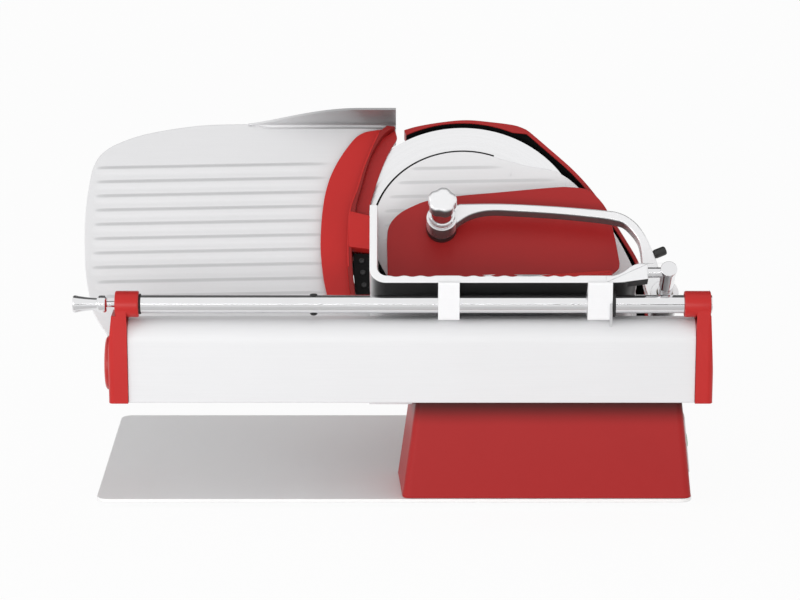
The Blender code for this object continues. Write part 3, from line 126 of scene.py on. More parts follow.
def smooth(points, steps=8):
    """A Catmull-Rom curve through the points, ends included."""
    curve = []
    last = len(points) - 1
    for i in range(last):
        a, b, c, d = (Vector(points[max(0, min(last, k))]) for k in (i - 1, i, i + 1, i + 2))
        for step in range(steps):
            t = step / steps
            p = 0.5 * (2 * b + (c - a) * t + (2 * a - 5 * b + 4 * c - d) * t * t
                       + (3 * b - a - 3 * c + d) * t ** 3)
            curve.append(tuple(p))
    return curve + [tuple(points[-1])]


def eased(points, radius, steps=5, closed=True):
    """The outline with each corner rounded off; tight corners take what room they have."""
    result = []
    count = len(points)
    for i, here in enumerate(points):
        if not closed and i in (0, count - 1):
            result.append(tuple(here))
            continue
        corner = Vector(here)
        before, after = Vector(points[i - 1]) - corner, Vector(points[(i + 1) % count]) - corner
        if min(before.length, after.length) < 1e-7:
            continue
        turn = before.angle(after)
        if turn > math.radians(170):
            result.append(tuple(here))
            continue
        cut = min(radius / math.tan(turn / 2), before.length * 0.45, after.length * 0.45)
        start, end = corner + before.normalized() * cut, corner + after.normalized() * cut
        for step in range(steps + 1):
            t = step / steps
            result.append(tuple(start.lerp(corner, t).lerp(corner.lerp(end, t), t)))
    return result


def rectangle(left, bottom, right, top):
    return [(left, bottom), (right, bottom), (right, top), (left, top)]


def rounded_rectangle(left, bottom, right, top, radius, steps=8):
    corners = [(right - radius, top - radius, 0), (left + radius, top - radius, 90),
               (left + radius, bottom + radius, 180), (right - radius, bottom + radius, 270)]
    return [p for x, y, a in corners for p in arc(radius, a, a + 90, steps, (x, y))]


def lobed(radius, depth, lobes, steps=120):
    """A star grip's outline, whose rim swells and dips by a cosine."""
    points = []
    for i in range(steps):
        angle = 2 * math.pi * i / steps
        here = radius + depth * math.cos(lobes * angle)
        points.append((here * math.cos(angle), here * math.sin(angle)))
    return points


def notched(radius, depth, notches, turn, steps=120):
    """A star grip's outline with broad lobes and narrow notches, the first notch at an angle in degrees."""
    points = []
    for i in range(steps):
        angle = 2 * math.pi * i / steps
        here = radius - depth * (0.5 + 0.5 * math.cos(notches * (angle - math.radians(turn)))) ** 2
        points.append((here * math.cos(angle), here * math.sin(angle)))
    return points


def belt_outline(radius_a, centre_b, radius_b, steps=32):
    """The hull of a circle at the origin and a circle at centre_b."""
    distance = math.hypot(*centre_b)
    heading = math.degrees(math.atan2(centre_b[1], centre_b[0]))
    half = math.degrees(math.acos((radius_a - radius_b) / distance))
    return (arc(radius_a, heading + half, heading + 360 - half, steps)
            + arc(radius_b, heading - half, heading + half, steps, centre_b))


# Meshes

def new_piece(name, mesh, place, crease=35):
    """Puts a mesh in its place, smooth but for the creases."""
    mesh.transform(place)
    piece = bpy.data.objects.new(name, mesh)
    bpy.context.scene.collection.objects.link(piece)
    mesh.shade_smooth()
    mesh.set_sharp_from_angle(angle=math.radians(crease))
    return piece


def weighted(piece):
    """Keeps broad flat faces flat beside their rounded edges."""
    step = piece.modifiers.new("flat faces", 'WEIGHTED_NORMAL')
    step.keep_sharp = True
    return piece


def slab_mesh(name, outlines, low, high, rounding=0, rims="both", segments=4):
    """A filled outline with its holes, raised from low to high, with rounded rims."""
    curve = bpy.data.curves.new(name, 'CURVE')
    curve.dimensions = '2D'
    curve.fill_mode = 'BOTH'
    curve.extrude = (high - low) / 2
    for points in outlines:
        spline = curve.splines.new('POLY')
        spline.points.add(len(points) - 1)
        for point, (x, y) in zip(spline.points, points):
            point.co = (x, y, 0, 1)
        spline.use_cyclic_u = True
    holder = bpy.data.objects.new(name, curve)
    bpy.context.scene.collection.objects.link(holder)
    graph = bpy.context.evaluated_depsgraph_get()
    mesh = bpy.data.meshes.new_from_object(holder.evaluated_get(graph))
    bpy.data.objects.remove(holder)
    bpy.data.curves.remove(curve)
    bm = bmesh.new()
    bm.from_mesh(mesh)
    bmesh.ops.remove_doubles(bm, verts=bm.verts, dist=1e-6)
    bmesh.ops.translate(bm, verts=bm.verts, vec=(0, 0, (low + high) / 2))
    bmesh.ops.dissolve_limit(bm, angle_limit=0.0005, verts=bm.verts, edges=bm.edges)
    bmesh.ops.recalc_face_normals(bm, faces=bm.faces)
    if rounding:
        wanted = {"both": (low, high), "low": (low,), "high": (high,)}[rims]
        edges = [e for e in bm.edges if any(all(abs(v.co.z - z) < 1e-6 for v in e.verts) for z in wanted)]
        bmesh.ops.bevel(bm, geom=edges, offset=rounding, segments=segments, profile=0.5, affect='EDGES')
    bm.to_mesh(mesh)
    bm.free()
    return mesh


def slab(name, outline, low, high, place, rounding=0, rims="both", holes=(), segments=4):
    mesh = slab_mesh(name, [outline, *holes], low, high, rounding, rims, segments)
    return weighted(new_piece(name, mesh, place))


def tube(inner, outer, top, bottom):
    """The profile of a straight ring, or of a rod where the inner radius is 0."""
    return [(inner, top), (outer, top), (outer, bottom), (inner, bottom)]


def lathe(name, profile, place, ease=0.0006, steps=96, at=(0, 0, 0), crease=35):
    """A profile of (radius, height) points turned about the frame's z, its corners eased."""
    closed = profile[0][0] > 0
    line = eased(profile, ease, 4, closed) if ease else list(profile)
    bm = bmesh.new()
    verts = [bm.verts.new((r, 0, z)) for r, z in line]
    edges = [bm.edges.new((a, b)) for a, b in zip(verts, verts[1:])]
    if closed:
        edges.append(bm.edges.new((verts[-1], verts[0])))
    bmesh.ops.spin(bm, geom=verts + edges, cent=(0, 0, 0), axis=(0, 0, 1), dvec=(0, 0, 0),
                   angle=2 * math.pi, steps=steps, use_merge=False, use_duplicate=False)
    bmesh.ops.remove_doubles(bm, verts=bm.verts, dist=1e-6)
    bmesh.ops.recalc_face_normals(bm, faces=bm.faces)
    bmesh.ops.translate(bm, verts=bm.verts, vec=at)
    mesh = bpy.data.meshes.new(name)
    bm.to_mesh(mesh)
    bm.free()
    return new_piece(name, mesh, place, crease)


def loft(name, sections, place, thickness=0, closed=False):
    """A skin through rows of points; a closed one is capped at its ends."""
    bm = bmesh.new()
    rows = [[bm.verts.new(p) for p in row] for row in sections]
    wrap = len(rows[0]) if closed else len(rows[0]) - 1
    for near, far in zip(rows, rows[1:]):
        for i in range(wrap):
            j = (i + 1) % len(near)
            bm.faces.new((near[i], near[j], far[j], far[i]))
    if closed:
        bm.faces.new(rows[0])
        bm.faces.new(rows[-1])
    bmesh.ops.recalc_face_normals(bm, faces=bm.faces)
    mesh = bpy.data.meshes.new(name)
    bm.to_mesh(mesh)
    bm.free()
    piece = new_piece(name, mesh, place)
    if thickness:
        skin = piece.modifiers.new("thickness", 'SOLIDIFY')
        skin.thickness = thickness
        skin.offset = -1
    return piece


def ridge_mesh(name, rows, width, height, base):
    """Soft pressed ribs, steep above and gentle below, that fade at both ends.

    Each row is a rib's left end, its right end, its height up the blade and its climb to the right.
    """
    bm = bmesh.new()
    along, across, crest = 40, 14, 0.62
    for left, right, up, climb in rows:
        grid = []
        for i in range(along + 1):
            x = left + (right - left) * (0.5 - 0.5 * math.cos(math.pi * i / along))
            shares = (x - left) / (width * 1.2), (right - x) / (width * 3.5)
            start, end = (max(0, min(1, share)) for share in shares)
            fade = math.sin(start * math.pi / 2) * math.sin(end * math.pi / 2) ** 1.5
            row = []
            for j in range(across + 1):
                t = j / across
                phase = t / crest / 2 if t < crest else 0.5 + (t - crest) / (1 - crest) / 2
                y = up + climb * (x - left) + (t - 0.5) * width
                rise = height * fade * (1 - math.cos(2 * math.pi * phase)) / 2
                row.append(bm.verts.new((x, y, base + rise)))
            grid.append(row)
        for near, far in zip(grid, grid[1:]):
            for j in range(across):
                bm.faces.new((near[j], far[j], far[j + 1], near[j + 1]))
    bmesh.ops.recalc_face_normals(bm, faces=bm.faces)
    mesh = bpy.data.meshes.new(name)
    bm.to_mesh(mesh)
    bm.free()
    return mesh


def combine(piece, tool, operation='DIFFERENCE'):
    """Cuts or joins another piece for good, and removes it."""
    step = piece.modifiers.new("shape", 'BOOLEAN')
    step.operation = operation
    step.solver = 'EXACT'
    step.object = tool
    graph = bpy.context.evaluated_depsgraph_get()
    mesh = bpy.data.meshes.new_from_object(piece.evaluated_get(graph))
    piece.modifiers.clear()
    piece.data = mesh
    bpy.data.objects.remove(tool)
    mesh.shade_smooth()
    mesh.set_sharp_from_angle(angle=math.radians(35))
    return piece


def softened(piece, width, segments=3, angle=40):
    """Rounds every sharp edge that is left."""
    step = piece.modifiers.new("edges", 'BEVEL')
    step.width = width
    step.segments = segments
    step.limit_method = 'ANGLE'
    step.angle_limit = math.radians(angle)
    step.harden_normals = False
    return weighted(piece)


def tapered_block(name, bottom, top, low, high, corner, steps=8):
    """A block between two four-cornered outlines, with rounded upright edges."""
    rows = [[(x, y, z) for x, y in eased(corners, corner, steps)]
            for corners, z in ((bottom, low), (top, high))]
    return loft(name, rows, WORLD, closed=True)


# Shader maths

class Wire:
    """A shader value that takes part in sums, products and comparisons."""

    def __init__(self, recipe, socket):
        self.recipe = recipe
        self.socket = socket

    def sum_of(self, operation, first, second=0.0):
        return self.recipe.node("Math", {"operation": operation}, {0: first, 1: second})

    def __add__(self, other):
        return self.sum_of('ADD', self, other)

    def __radd__(self, other):
        return self.sum_of('ADD', other, self)

    def __sub__(self, other):
        return self.sum_of('SUBTRACT', self, other)

    def __rsub__(self, other):
        return self.sum_of('SUBTRACT', other, self)

    def __mul__(self, other):
        return self.sum_of('MULTIPLY', self, other)

    def __rmul__(self, other):
        return self.sum_of('MULTIPLY', other, self)

    def __pow__(self, other):
        return self.sum_of('POWER', self, other)

    def __gt__(self, other):
        return self.sum_of('GREATER_THAN', self, other)

    def __lt__(self, other):
        return self.sum_of('LESS_THAN', self, other)

    def __mod__(self, other):
        return self.sum_of('FLOORED_MODULO', self, other)


class Sheet:
    """A node tree that is filled in through one method: type, settings, then sockets."""

    def __init__(self, tree):
        self.tree = tree

    def node(self, kind, settings=None, sockets=None, output=0):
        made = self.tree.nodes.new("ShaderNode" + kind)
        for key, value in (settings or {}).items():
            setattr(made, key, value)
        for key, value in (sockets or {}).items():
            self.feed(made.inputs[key], value)
        return Wire(self, made.outputs[output])

    def feed(self, socket, value):
        if isinstance(value, Wire):
            self.tree.links.new(value.socket, socket)
        else:
            socket.default_value = value

    def shown_white(self, kind, lit, share=1.0):
        """White to the camera and to mirrors and glass, and the lit shader to everything else."""
        camera, glossy, through = (self.node("LightPath", output=f"Is {ray} Ray")
                                   for ray in ("Camera", "Glossy", "Transmission"))
        seen = camera.sum_of('MAXIMUM', camera.sum_of('MAXIMUM', camera, glossy), through)
        white = self.node(kind, None, {"Color": (1, 1, 1, 1), "Strength": 1.0})
        return self.node("MixShader", None, {0: seen * share, 1: lit, 2: white})


class Recipe(Sheet):
    """One material under construction, with its Principled shader."""

    def __init__(self, name, colour, roughness, metallic=0.0, coat=0.0, coat_roughness=0.1):
        self.material = bpy.data.materials.new(name)
        self.material.use_nodes = True
        super().__init__(self.material.node_tree)
        self.shader = self.tree.nodes["Principled BSDF"]
        self.colour = (*colour, 1.0)
        self.put("Base Color", self.colour)
        self.put("Roughness", roughness)
        self.put("Metallic", metallic)
        self.put("Coat Weight", coat)
        self.put("Coat Roughness", coat_roughness)
        self.place = self.node("TexCoord", output="Object")

    def put(self, name, value):
        self.feed(self.shader.inputs[name], value)

    def ramp(self, value, start, end, first=0.0, last=1.0):
        """A smooth change between two values of a measure."""
        return self.node("MapRange", {"interpolation_type": 'SMOOTHSTEP'},
                         {0: value, 1: start, 2: end, 3: first, 4: last})

    def facing(self, direction, start, end, first=0.0, last=1.0):
        """How squarely the surface faces a direction, as a smooth step."""
        normal = self.node("TexCoord", output="Normal")
        squareness = self.vector('DOT_PRODUCT', normal, tuple(direction), "Value")
        return self.ramp(squareness, start, end, first, last)

    def split(self, vector):
        """The three numbers of a vector."""
        parts = self.node("SeparateXYZ", None, {0: vector}).socket.node
        return [Wire(self, socket) for socket in parts.outputs]

    def vector(self, operation, first, second=(0, 0, 0), output=0):
        return self.node("VectorMath", {"operation": operation}, {0: first, 1: second}, output)

    def noise(self, scale, detail=2.0, stretch=(1, 1, 1), roughness=0.5):
        """Noise whose grain can be drawn out along an axis."""
        spot = self.vector('MULTIPLY', self.place, tuple(scale * s for s in stretch))
        return self.node("TexNoise", None, {"Vector": spot, "Scale": 1.0, "Detail": detail,
                                            "Roughness": roughness})

    def blend(self, factor, first, second):
        return self.node("Mix", {"data_type": 'RGBA'}, {0: factor, 6: first, 7: second}, 2)

    def shaded(self, factor, dark, light):
        """The finish's own colour between two levels of brightness."""
        low = (*(c * dark for c in self.colour[:3]), 1.0)
        high = (*(min(1.0, c * light) for c in self.colour[:3]), 1.0)
        return self.blend(factor, low, high)

    def bump(self, height, distance, strength=1.0):
        self.put("Normal", self.node("Bump", None, {"Height": height, "Distance": distance,
                                                    "Strength": strength}))

    def axis_radius(self, centre, out):
        """The distance of a point from an axis through a centre."""
        away = self.vector('SUBTRACT', self.place, tuple(centre))
        along = self.vector('DOT_PRODUCT', away, tuple(out), "Value")
        length = self.vector('LENGTH', away, (0, 0, 0), "Value")
        return (length * length - along * along) ** 0.5


def painted_metal(name, colour, roughness=0.40, gloss=0.30):
    """Satin stove enamel with a faint orange peel and soft cloudiness."""
    recipe = Recipe(name, colour, roughness)
    recipe.put("Specular IOR Level", gloss)
    cloud = recipe.noise(14, 3)
    recipe.put("Base Color", recipe.shaded(cloud, 0.93, 1.06))
    recipe.put("Roughness", roughness - 0.05 + cloud * 0.10)
    recipe.bump(recipe.noise(900, 2), 0.00006, 0.5)
    return recipe.material


def enamel_with_painted_shadow(name, colour, level, depth):
    """The pedestal's enamel with a painted shadow: it darkens in the last stretch below the housing, where the
    housing shades it.
    """
    recipe = Recipe(name, colour, 0.40)
    recipe.put("Specular IOR Level", 0.22)
    cloud = recipe.noise(14, 3)
    height = recipe.split(recipe.place)[2]
    # Painted shadow: the colour falls towards black over the last stretch of height under the housing.
    shade = recipe.ramp(height, level - depth, level, 1.0, 0.14) * (cloud * 0.12 + 0.94)
    recipe.put("Base Color", recipe.blend(shade, (0, 0, 0, 1), recipe.colour))
    recipe.put("Roughness", 0.36 + cloud * 0.08)
    recipe.bump(recipe.noise(900, 2), 0.00006, 0.5)
    return recipe.material


def satin_aluminium(name, colour, roughness=0.36, grain=(0.012, 1, 1), metallic=0.35, depth=0.5, shade=None):
    """Bead-blasted and anodised metal, with a fine grain drawn along one direction.

    A shade is a function of the recipe that gives how far the colour is painted towards near-black, from 0 to
    1: painted shade, which leaves the roughness as it is.
    """
    recipe = Recipe(name, colour, roughness, metallic)
    recipe.put("Specular IOR Level", 0.35)
    lines = recipe.noise(1500, 3, grain)
    cloud = recipe.noise(9, 2)
    tone = recipe.shaded(lines * 0.6 + cloud * 0.4, 0.95, 1.03)
    if shade:
        # Painted shade: the colour is mixed towards near-black by the shade.
        tone = recipe.blend(shade(recipe), tone, (0.030, 0.030, 0.031, 1))
    recipe.put("Base Color", tone)
    recipe.put("Roughness", roughness - 0.06 + lines * 0.09 + cloud * 0.03)
    recipe.bump(lines, 0.00003, depth)
    return recipe.material


def painted_shade_below(recipe):
    """Painted shade: dark where the surface looks down near the open end, as in the shadow under the table."""
    out = recipe.vector('DOT_PRODUCT', recipe.place, tuple(AWAY), "Value")
    start = Vector(AWAY).dot(BLADE.translation) + 0.082
    return recipe.facing(-UP_BLADE, 0.15, 0.92) * recipe.ramp(out, start, start + 0.020)


def painted_rib_shadow(recipe):
    """Painted shade: a little darker on the steep upper side of each pressed rib."""
    return recipe.facing(UP_BLADE, 0.02, 0.17, 0.0, 0.15)


def painted_shade_edge(recipe):
    """Painted shade: dark grey where the arm's lower edge looks down."""
    return recipe.facing(-UP_BLADE, 0.35, 0.85, 0.0, 0.85)


def painted_shade_right(recipe):
    """Painted shade: ever darker towards the right, as on the gauge plate's flange."""
    return recipe.ramp(recipe.split(recipe.place)[0], -0.150, -0.035, 0.10, 0.55)


def blasted_plate(name, colour):
    """The grey deck: matt anodised, with a fine even grain and faint handling marks, and a painted highlight
    along its front edge.
    """
    recipe = Recipe(name, colour, 0.5, 0.40)
    grain = recipe.noise(1900, 2)
    marks = recipe.noise(22, 4, (1, 0.35, 1))
    face = recipe.shaded(grain * 0.45 + marks * 0.55, 0.95, 1.04)
    # Painted highlight: faces that look to the front are painted lighter.
    recipe.put("Base Color", recipe.blend(recipe.facing((0, -1, 0), 0.3, 0.8), face, (0.92, 0.92, 0.91, 1)))
    recipe.put("Roughness", 0.46 + marks * 0.12)
    recipe.bump(grain, 0.00003, 0.5)
    return recipe.material


def ground_steel(name, colour, centre, out, roughness=0.24):
    """Steel ground on a turntable: fine rings about an axis, with a few deeper ones."""
    recipe = Recipe(name, colour, roughness, 1.0)
    radius = recipe.axis_radius(centre, out)
    rings, broad = (recipe.node("TexNoise", {"noise_dimensions": '1D'},
                                {"W": radius * scale, "Scale": 1.0, "Detail": detail})
                    for scale, detail in ((2600, 3.0), (260, 1.0)))
    recipe.put("Base Color", recipe.shaded(rings * 0.6 + broad * 0.4, 0.90, 1.06))
    recipe.put("Roughness", roughness - 0.05 + rings * 0.12)
    recipe.bump(rings, 0.00003, 0.6)
    return recipe.material


def polished(name, colour, roughness=0.07):
    """Chrome or polished metal, with the slight smears that hands leave."""
    recipe = Recipe(name, colour, roughness, 1.0)
    smear = recipe.noise(35, 4, (0.4, 1, 1))
    recipe.put("Roughness", roughness + smear ** 3 * 0.18)
    recipe.put("Base Color", recipe.shaded(smear, 0.96, 1.02))
    return recipe.material


def moulded(name, colour, roughness=0.45, grain=700, depth=0.00008, gloss=0.5):
    """Moulded plastic or rubber with a fine spark-eroded texture."""
    recipe = Recipe(name, colour, roughness)
    recipe.put("Specular IOR Level", gloss)
    texture = recipe.noise(grain, 3)
    recipe.put("Base Color", recipe.shaded(texture, 0.8, 1.25))
    recipe.put("Roughness", roughness - 0.08 + texture * 0.16)
    recipe.bump(texture, depth, 0.6)
    return recipe.material


def dial_paint(name, colour, mark, centre):
    """Red enamel with pale setting marks round the dial's rim."""
    recipe = Recipe(name, colour, 0.4, coat=0.2, coat_roughness=0.2)
    away = recipe.vector('SUBTRACT', recipe.place, tuple(centre))
    across, up = recipe.split(away)[1:]
    angle = recipe.node("Math", {"operation": 'ARCTAN2'}, {0: up, 1: across})
    radius = recipe.axis_radius(centre, RIGHT)
    step = (angle * (180 / math.pi) + 360) % 20
    tick = (step < 2.2) * (radius > 0.0200) * (radius < 0.0245)
    recipe.put("Base Color", recipe.blend(tick, recipe.colour, (*mark, 1.0)))
    recipe.bump(recipe.noise(900, 2), 0.00006, 0.5)
    return recipe.material


class Finishes:
    """Every finish on the machine, made once from the colours in the panel."""

    def __init__(self, colours):
        spin = joint("blade_spin")["pos_m"]
        bright, silver = colours.paint_bright, colours.aluminium
        pedestal_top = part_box("pedestal")[1].z
        paint, metal, steel = "red_paint", "satin_aluminium", "brushed_steel"
        self.red = self.kept(paint, painted_metal, "enamel", colours.paint)
        # The lit enamel here, also used on the dial, and the lip's enamel are copies of the one red enamel
        # painted lighter and darker: painted light and painted shade.
        self.red_bright = self.kept(paint, painted_metal, "enamel_bright", bright, 0.36)
        # The pedestal's enamel carries a painted shadow below the housing.
        self.pedestal = self.kept(paint, enamel_with_painted_shadow, "enamel_pedestal", colours.paint, pedestal_top,
                                  0.026)
        self.dial = self.kept(paint, dial_paint, "enamel_dial", bright, (0.85, 0.85, 0.83),
                              middle("thickness_dial"))
        self.lip = self.kept(paint, painted_metal, "enamel_lip", colours.paint_deep, 0.36)
        self.white = self.kept(metal, satin_aluminium, "anodised_satin", silver, 0.50, metallic=0.05)
        # The gauge plate and the cover get painted shade on the upper side of their ribs.
        self.plate = self.kept(metal, satin_aluminium, "anodised_plate", silver, 0.44, metallic=0.20,
                               shade=painted_rib_shadow)
        # The flange gets painted shade that deepens to the right.
        self.flange = self.kept(metal, satin_aluminium, "anodised_flange", silver, 0.34, metallic=0.55,
                                shade=painted_shade_right)
        self.cover = self.kept(metal, satin_aluminium, "anodised_cover", colours.cover, 0.46, metallic=0.10,
                               shade=painted_rib_shadow)
        self.block = self.kept(metal, satin_aluminium, "anodised_block", colours.cover, 0.46, metallic=0.05)
        # The table's finish has painted shade on its underside.
        self.table = self.kept(metal, satin_aluminium, "anodised_table", colours.cover, 0.30,
                               (1, 0.012, 0.012), 0.35, shade=painted_shade_below)
        # The arm's polished casting gets painted shade where it looks down.
        self.cast = self.kept(metal, satin_aluminium, "casting_polished", colours.cover, 0.20, (0.05, 1, 1),
                              0.55, shade=painted_shade_edge)
        self.deck = self.kept(metal, blasted_plate, "anodised_deck", colours.deck)
        self.blade = self.kept(steel, ground_steel, "blade_ground", colours.steel, spin, AWAY)
        self.steel = self.kept(steel, satin_aluminium, "steel_machined", colours.steel, 0.3, (0.02, 1, 1),
                               1.0)
        self.chrome = self.kept("chrome", polished, "chromium", colours.chrome)
        self.black = self.kept("black_plastic", moulded, "plastic_black", colours.black, 0.32)
        # In the ring casting's dish and round the blade cover's edge this matt black is painted shade.
        self.recess = self.kept("black_plastic", moulded, "recess_black", colours.recess, 0.7, gloss=0.15)
        self.rubber = self.kept("black_rubber", moulded, "rubber_black", colours.black, 0.75, 500, 0.00015)
        self.green = self.kept("green_plastic", moulded, "plastic_green", colours.green, 0.35)
        self.brass = self.kept("brass", satin_aluminium, "brass_turned", colours.brass, 0.28, (0.02, 1, 1),
                               1.0)

    def kept(self, slot, make, *values, **choices):
        """Makes a finish, and notes the slot that it can be repainted from."""
        material = make(*values, **choices)
        material["slot"] = slot
        return material


MADE = {}


def finishes():
    if "finishes" not in MADE:
        MADE["finishes"] = Finishes(bpy.context.scene.slicer_colours)
    return MADE["finishes"]


def dress(piece, material, body, *nodes):
    """Gives a piece its finish and its body, and lets it stand for the nodes named."""
    piece.data.materials.clear()
    piece.data.materials.append(material)
    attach(piece, body)
    if nodes:
        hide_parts(*nodes)
    return piece


def dress_node(node, material):
    """Gives a solid that stays in view, or hidden inside, its finish."""
    solid = frame["nodes"][node]
    if not solid.material_slots:
        solid.data.materials.append(material)
    for slot in solid.material_slots:
        slot.material = material


# Sizes and colours

def length(name, description, default):
    return FloatProperty(name=name, description=description, default=default, unit='LENGTH', precision=4)


def colour(name, description, default):
    return FloatVectorProperty(name=name, description=description, default=default, subtype='COLOR',
                               min=0.0, max=1.0)


class SlicerSizes(PropertyGroup):
    edge: length("Edge rounding", "Radius on the edges of plates and castings", 0.0008)
    casting_edge: length("Casting rounding", "Radius on the rims of the red castings", 0.0013)
    cap_edge: length("Cap rounding", "Radius of the end caps' outer upright edge", 0.0065)
    rib_width: length("Rib width", "Width of the pressed ribs on the gauge plate and cover", 0.0130)
    rib_height: length("Rib height", "Height of the pressed ribs", 0.0012)
    rib_pitch: length("Rib pitch", "Distance between the pressed ribs", 0.0168)
    wave_height: length("Wave height", "Depth of the grooves in the food table", 0.00125)
    grip_depth: length("Grip notch depth", "How deep the notches of the pusher's grip are", 0.0015)
    grip_lobes: IntProperty(name="Grip lobes", description="Lobes round the pusher's grip", default=5, min=3)


class SlicerColours(PropertyGroup):
    paint: colour("Enamel", "Red enamel of the castings and pedestal", (0.40, 0.018, 0.018))
    # The bright and the deep enamel are the red enamel painted lighter and darker: painted light and painted
    # shade.
    paint_bright: colour("Bright enamel", "Red enamel of the end caps and dial", (0.54, 0.020, 0.018))
    paint_deep: colour("Deep enamel", "Red enamel of the guard's raised lip", (0.27, 0.011, 0.010))
    aluminium: colour("Aluminium", "Satin anodised aluminium", (0.81, 0.81, 0.82))
    cover: colour("Cover", "Anodised blade cover, slide blocks, table and arm", (0.90, 0.90, 0.91))
    # In the ring casting's dish and round the blade cover's edge, this black stands in for shade: painted
    # shade.
    recess: colour("Recess", "Matt black inside the ring casting and on the guard's support",
                   (0.006, 0.006, 0.006))
    deck: colour("Deck", "Matt anodised base plate", (0.94, 0.94, 0.945))
    steel: colour("Steel", "Ground and machined steel", (0.86, 0.86, 0.87))
    chrome: colour("Chrome", "Chrome-plated rods and knobs", (0.80, 0.80, 0.81))
    black: colour("Black", "Black plastic and rubber", (0.016, 0.016, 0.016))
    green: colour("Green", "Start button", (0.02, 0.26, 0.07))
    brass: colour("Brass", "Bushing in the arm", (0.62, 0.42, 0.15))


class SlicerStage(PropertyGroup):
    lens: FloatProperty(name="Lens", description="Camera focal length in millimetres", default=135.0)
    camera_place: FloatVectorProperty(name="Camera place", description="Where the camera stands",
                                      default=(0.0094, -3.0077, 0.9437), subtype='TRANSLATION', unit='LENGTH')
    camera_tilt: FloatProperty(name="Camera tilt", description="Camera angle from straight down",
                               default=math.radians(75.7), subtype='ANGLE')
    ambient: FloatProperty(name="Ambient", description="Strength of the even studio light", default=0.66)
    key_power: FloatProperty(name="Key light", description="Power of the wide soft light in front",
                             default=21.0)
    side_power: FloatProperty(name="Side light", description="Power of the soft light at the left",
                              default=12.0)


# The machine's pieces

def build_deck():
    sizes, finish = bpy.context.scene.slicer_sizes, finishes()
    low, high = DECK_BOX
    deck = slab("deck_plate", rounded_rectangle(low.x, low.y, high.x, high.y, 0.012), low.z, high.z, WORLD,
                sizes.edge)
    dress(deck, finish.deck, "machine", "base_plate")
    for end in ("front", "back"):
        for side in ("left", "right"):
            node = f"foot_{end}_{side}"
            low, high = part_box(node)
            wide = (high.x - low.x) / 2
            spot = Matrix.Translation(((low.x + high.x) / 2, (low.y + high.y) / 2, 0))
            foot = lathe(f"rubber_{node}", [
                (0, high.z), (wide, high.z), (wide, high.z * 0.55), (wide * 0.85, 0), (wide * 0.55, 0),
                (wide * 0.45, 0.0012), (0, 0.0012)], spot, 0.0008, 48)
            dress(foot, finish.rubber, "machine", node)


FLARE, LEAN_LEFT, LEAN_RIGHT, LEAN_FRONT, PEDESTAL_WALL = 0.005, 0.0139, 0.0108, 0.006, 0.004


def pedestal_corners(rise, inset):
    """The pedestal's outline at a share of its height: the sides lean in, and the left one flares back."""
    low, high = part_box("pedestal")
    near, far = low.y + LEAN_FRONT * rise + inset, high.y - inset
    slope = FLARE / (high.y - low.y)
    left = lambda y: low.x + FLARE + LEAN_LEFT * rise - slope * (y - low.y) + inset
    right = high.x - LEAN_RIGHT * rise - inset
    return [(left(near), near), (right, near), (right, far), (left(far), far)]


def build_pedestal():
    finish = finishes()
    low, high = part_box("pedestal")
    wall, corner = PEDESTAL_WALL, 0.008
    block = tapered_block("pedestal_casting", pedestal_corners(0, 0), pedestal_corners(1, 0), low.z, high.z,
                          corner)
    combine(block, tapered_block("hollow", pedestal_corners(0, wall), pedestal_corners(1, wall),
                                 low.z - 0.002, high.z - wall, corner - wall))
    opening = rounded_rectangle(-0.026, -0.0102, 0.026, 0.0102, 0.003)
    combine(block, slab("opening", opening, -0.009, 0.004, panel_place()))
    gland = middle("cord_gland")
    entry = turned_to((gland.x, high.y, gland.z), RIGHT, (0, 1, 0))
    combine(block, lathe("entry", tube(0, 0.009, 0.004, -0.009), entry, 0, 48))
    softened(block, 0.0012)
    dress(block, finish.pedestal, "machine", "pedestal")
    low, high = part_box("housing_bracket")
    step = FLARE * (high.y - low.y) / 0.092
    bracket = slab("bracket_block", eased([(low.x, low.y), (high.x, low.y), (high.x - step, high.y),
                                           (low.x, high.y)], 0.0012), low.z, high.z, WORLD, 0.0006)
    dress(bracket, finish.white, "machine", "housing_bracket")


def panel_place():
    """The switch panel's frame: z out of the pedestal's right face, y up it."""
    along = (-PRESS.y, PRESS.x, 0)
    flat = turned_to((0, 0, 0), along, PRESS)
    low, high = reach("switch_panel", flat)
    centre = flat @ Vector(((low.x + high.x) / 2, (low.y + high.y) / 2, low.z))
    return turned_to(centre - PRESS * GAP, along, PRESS)


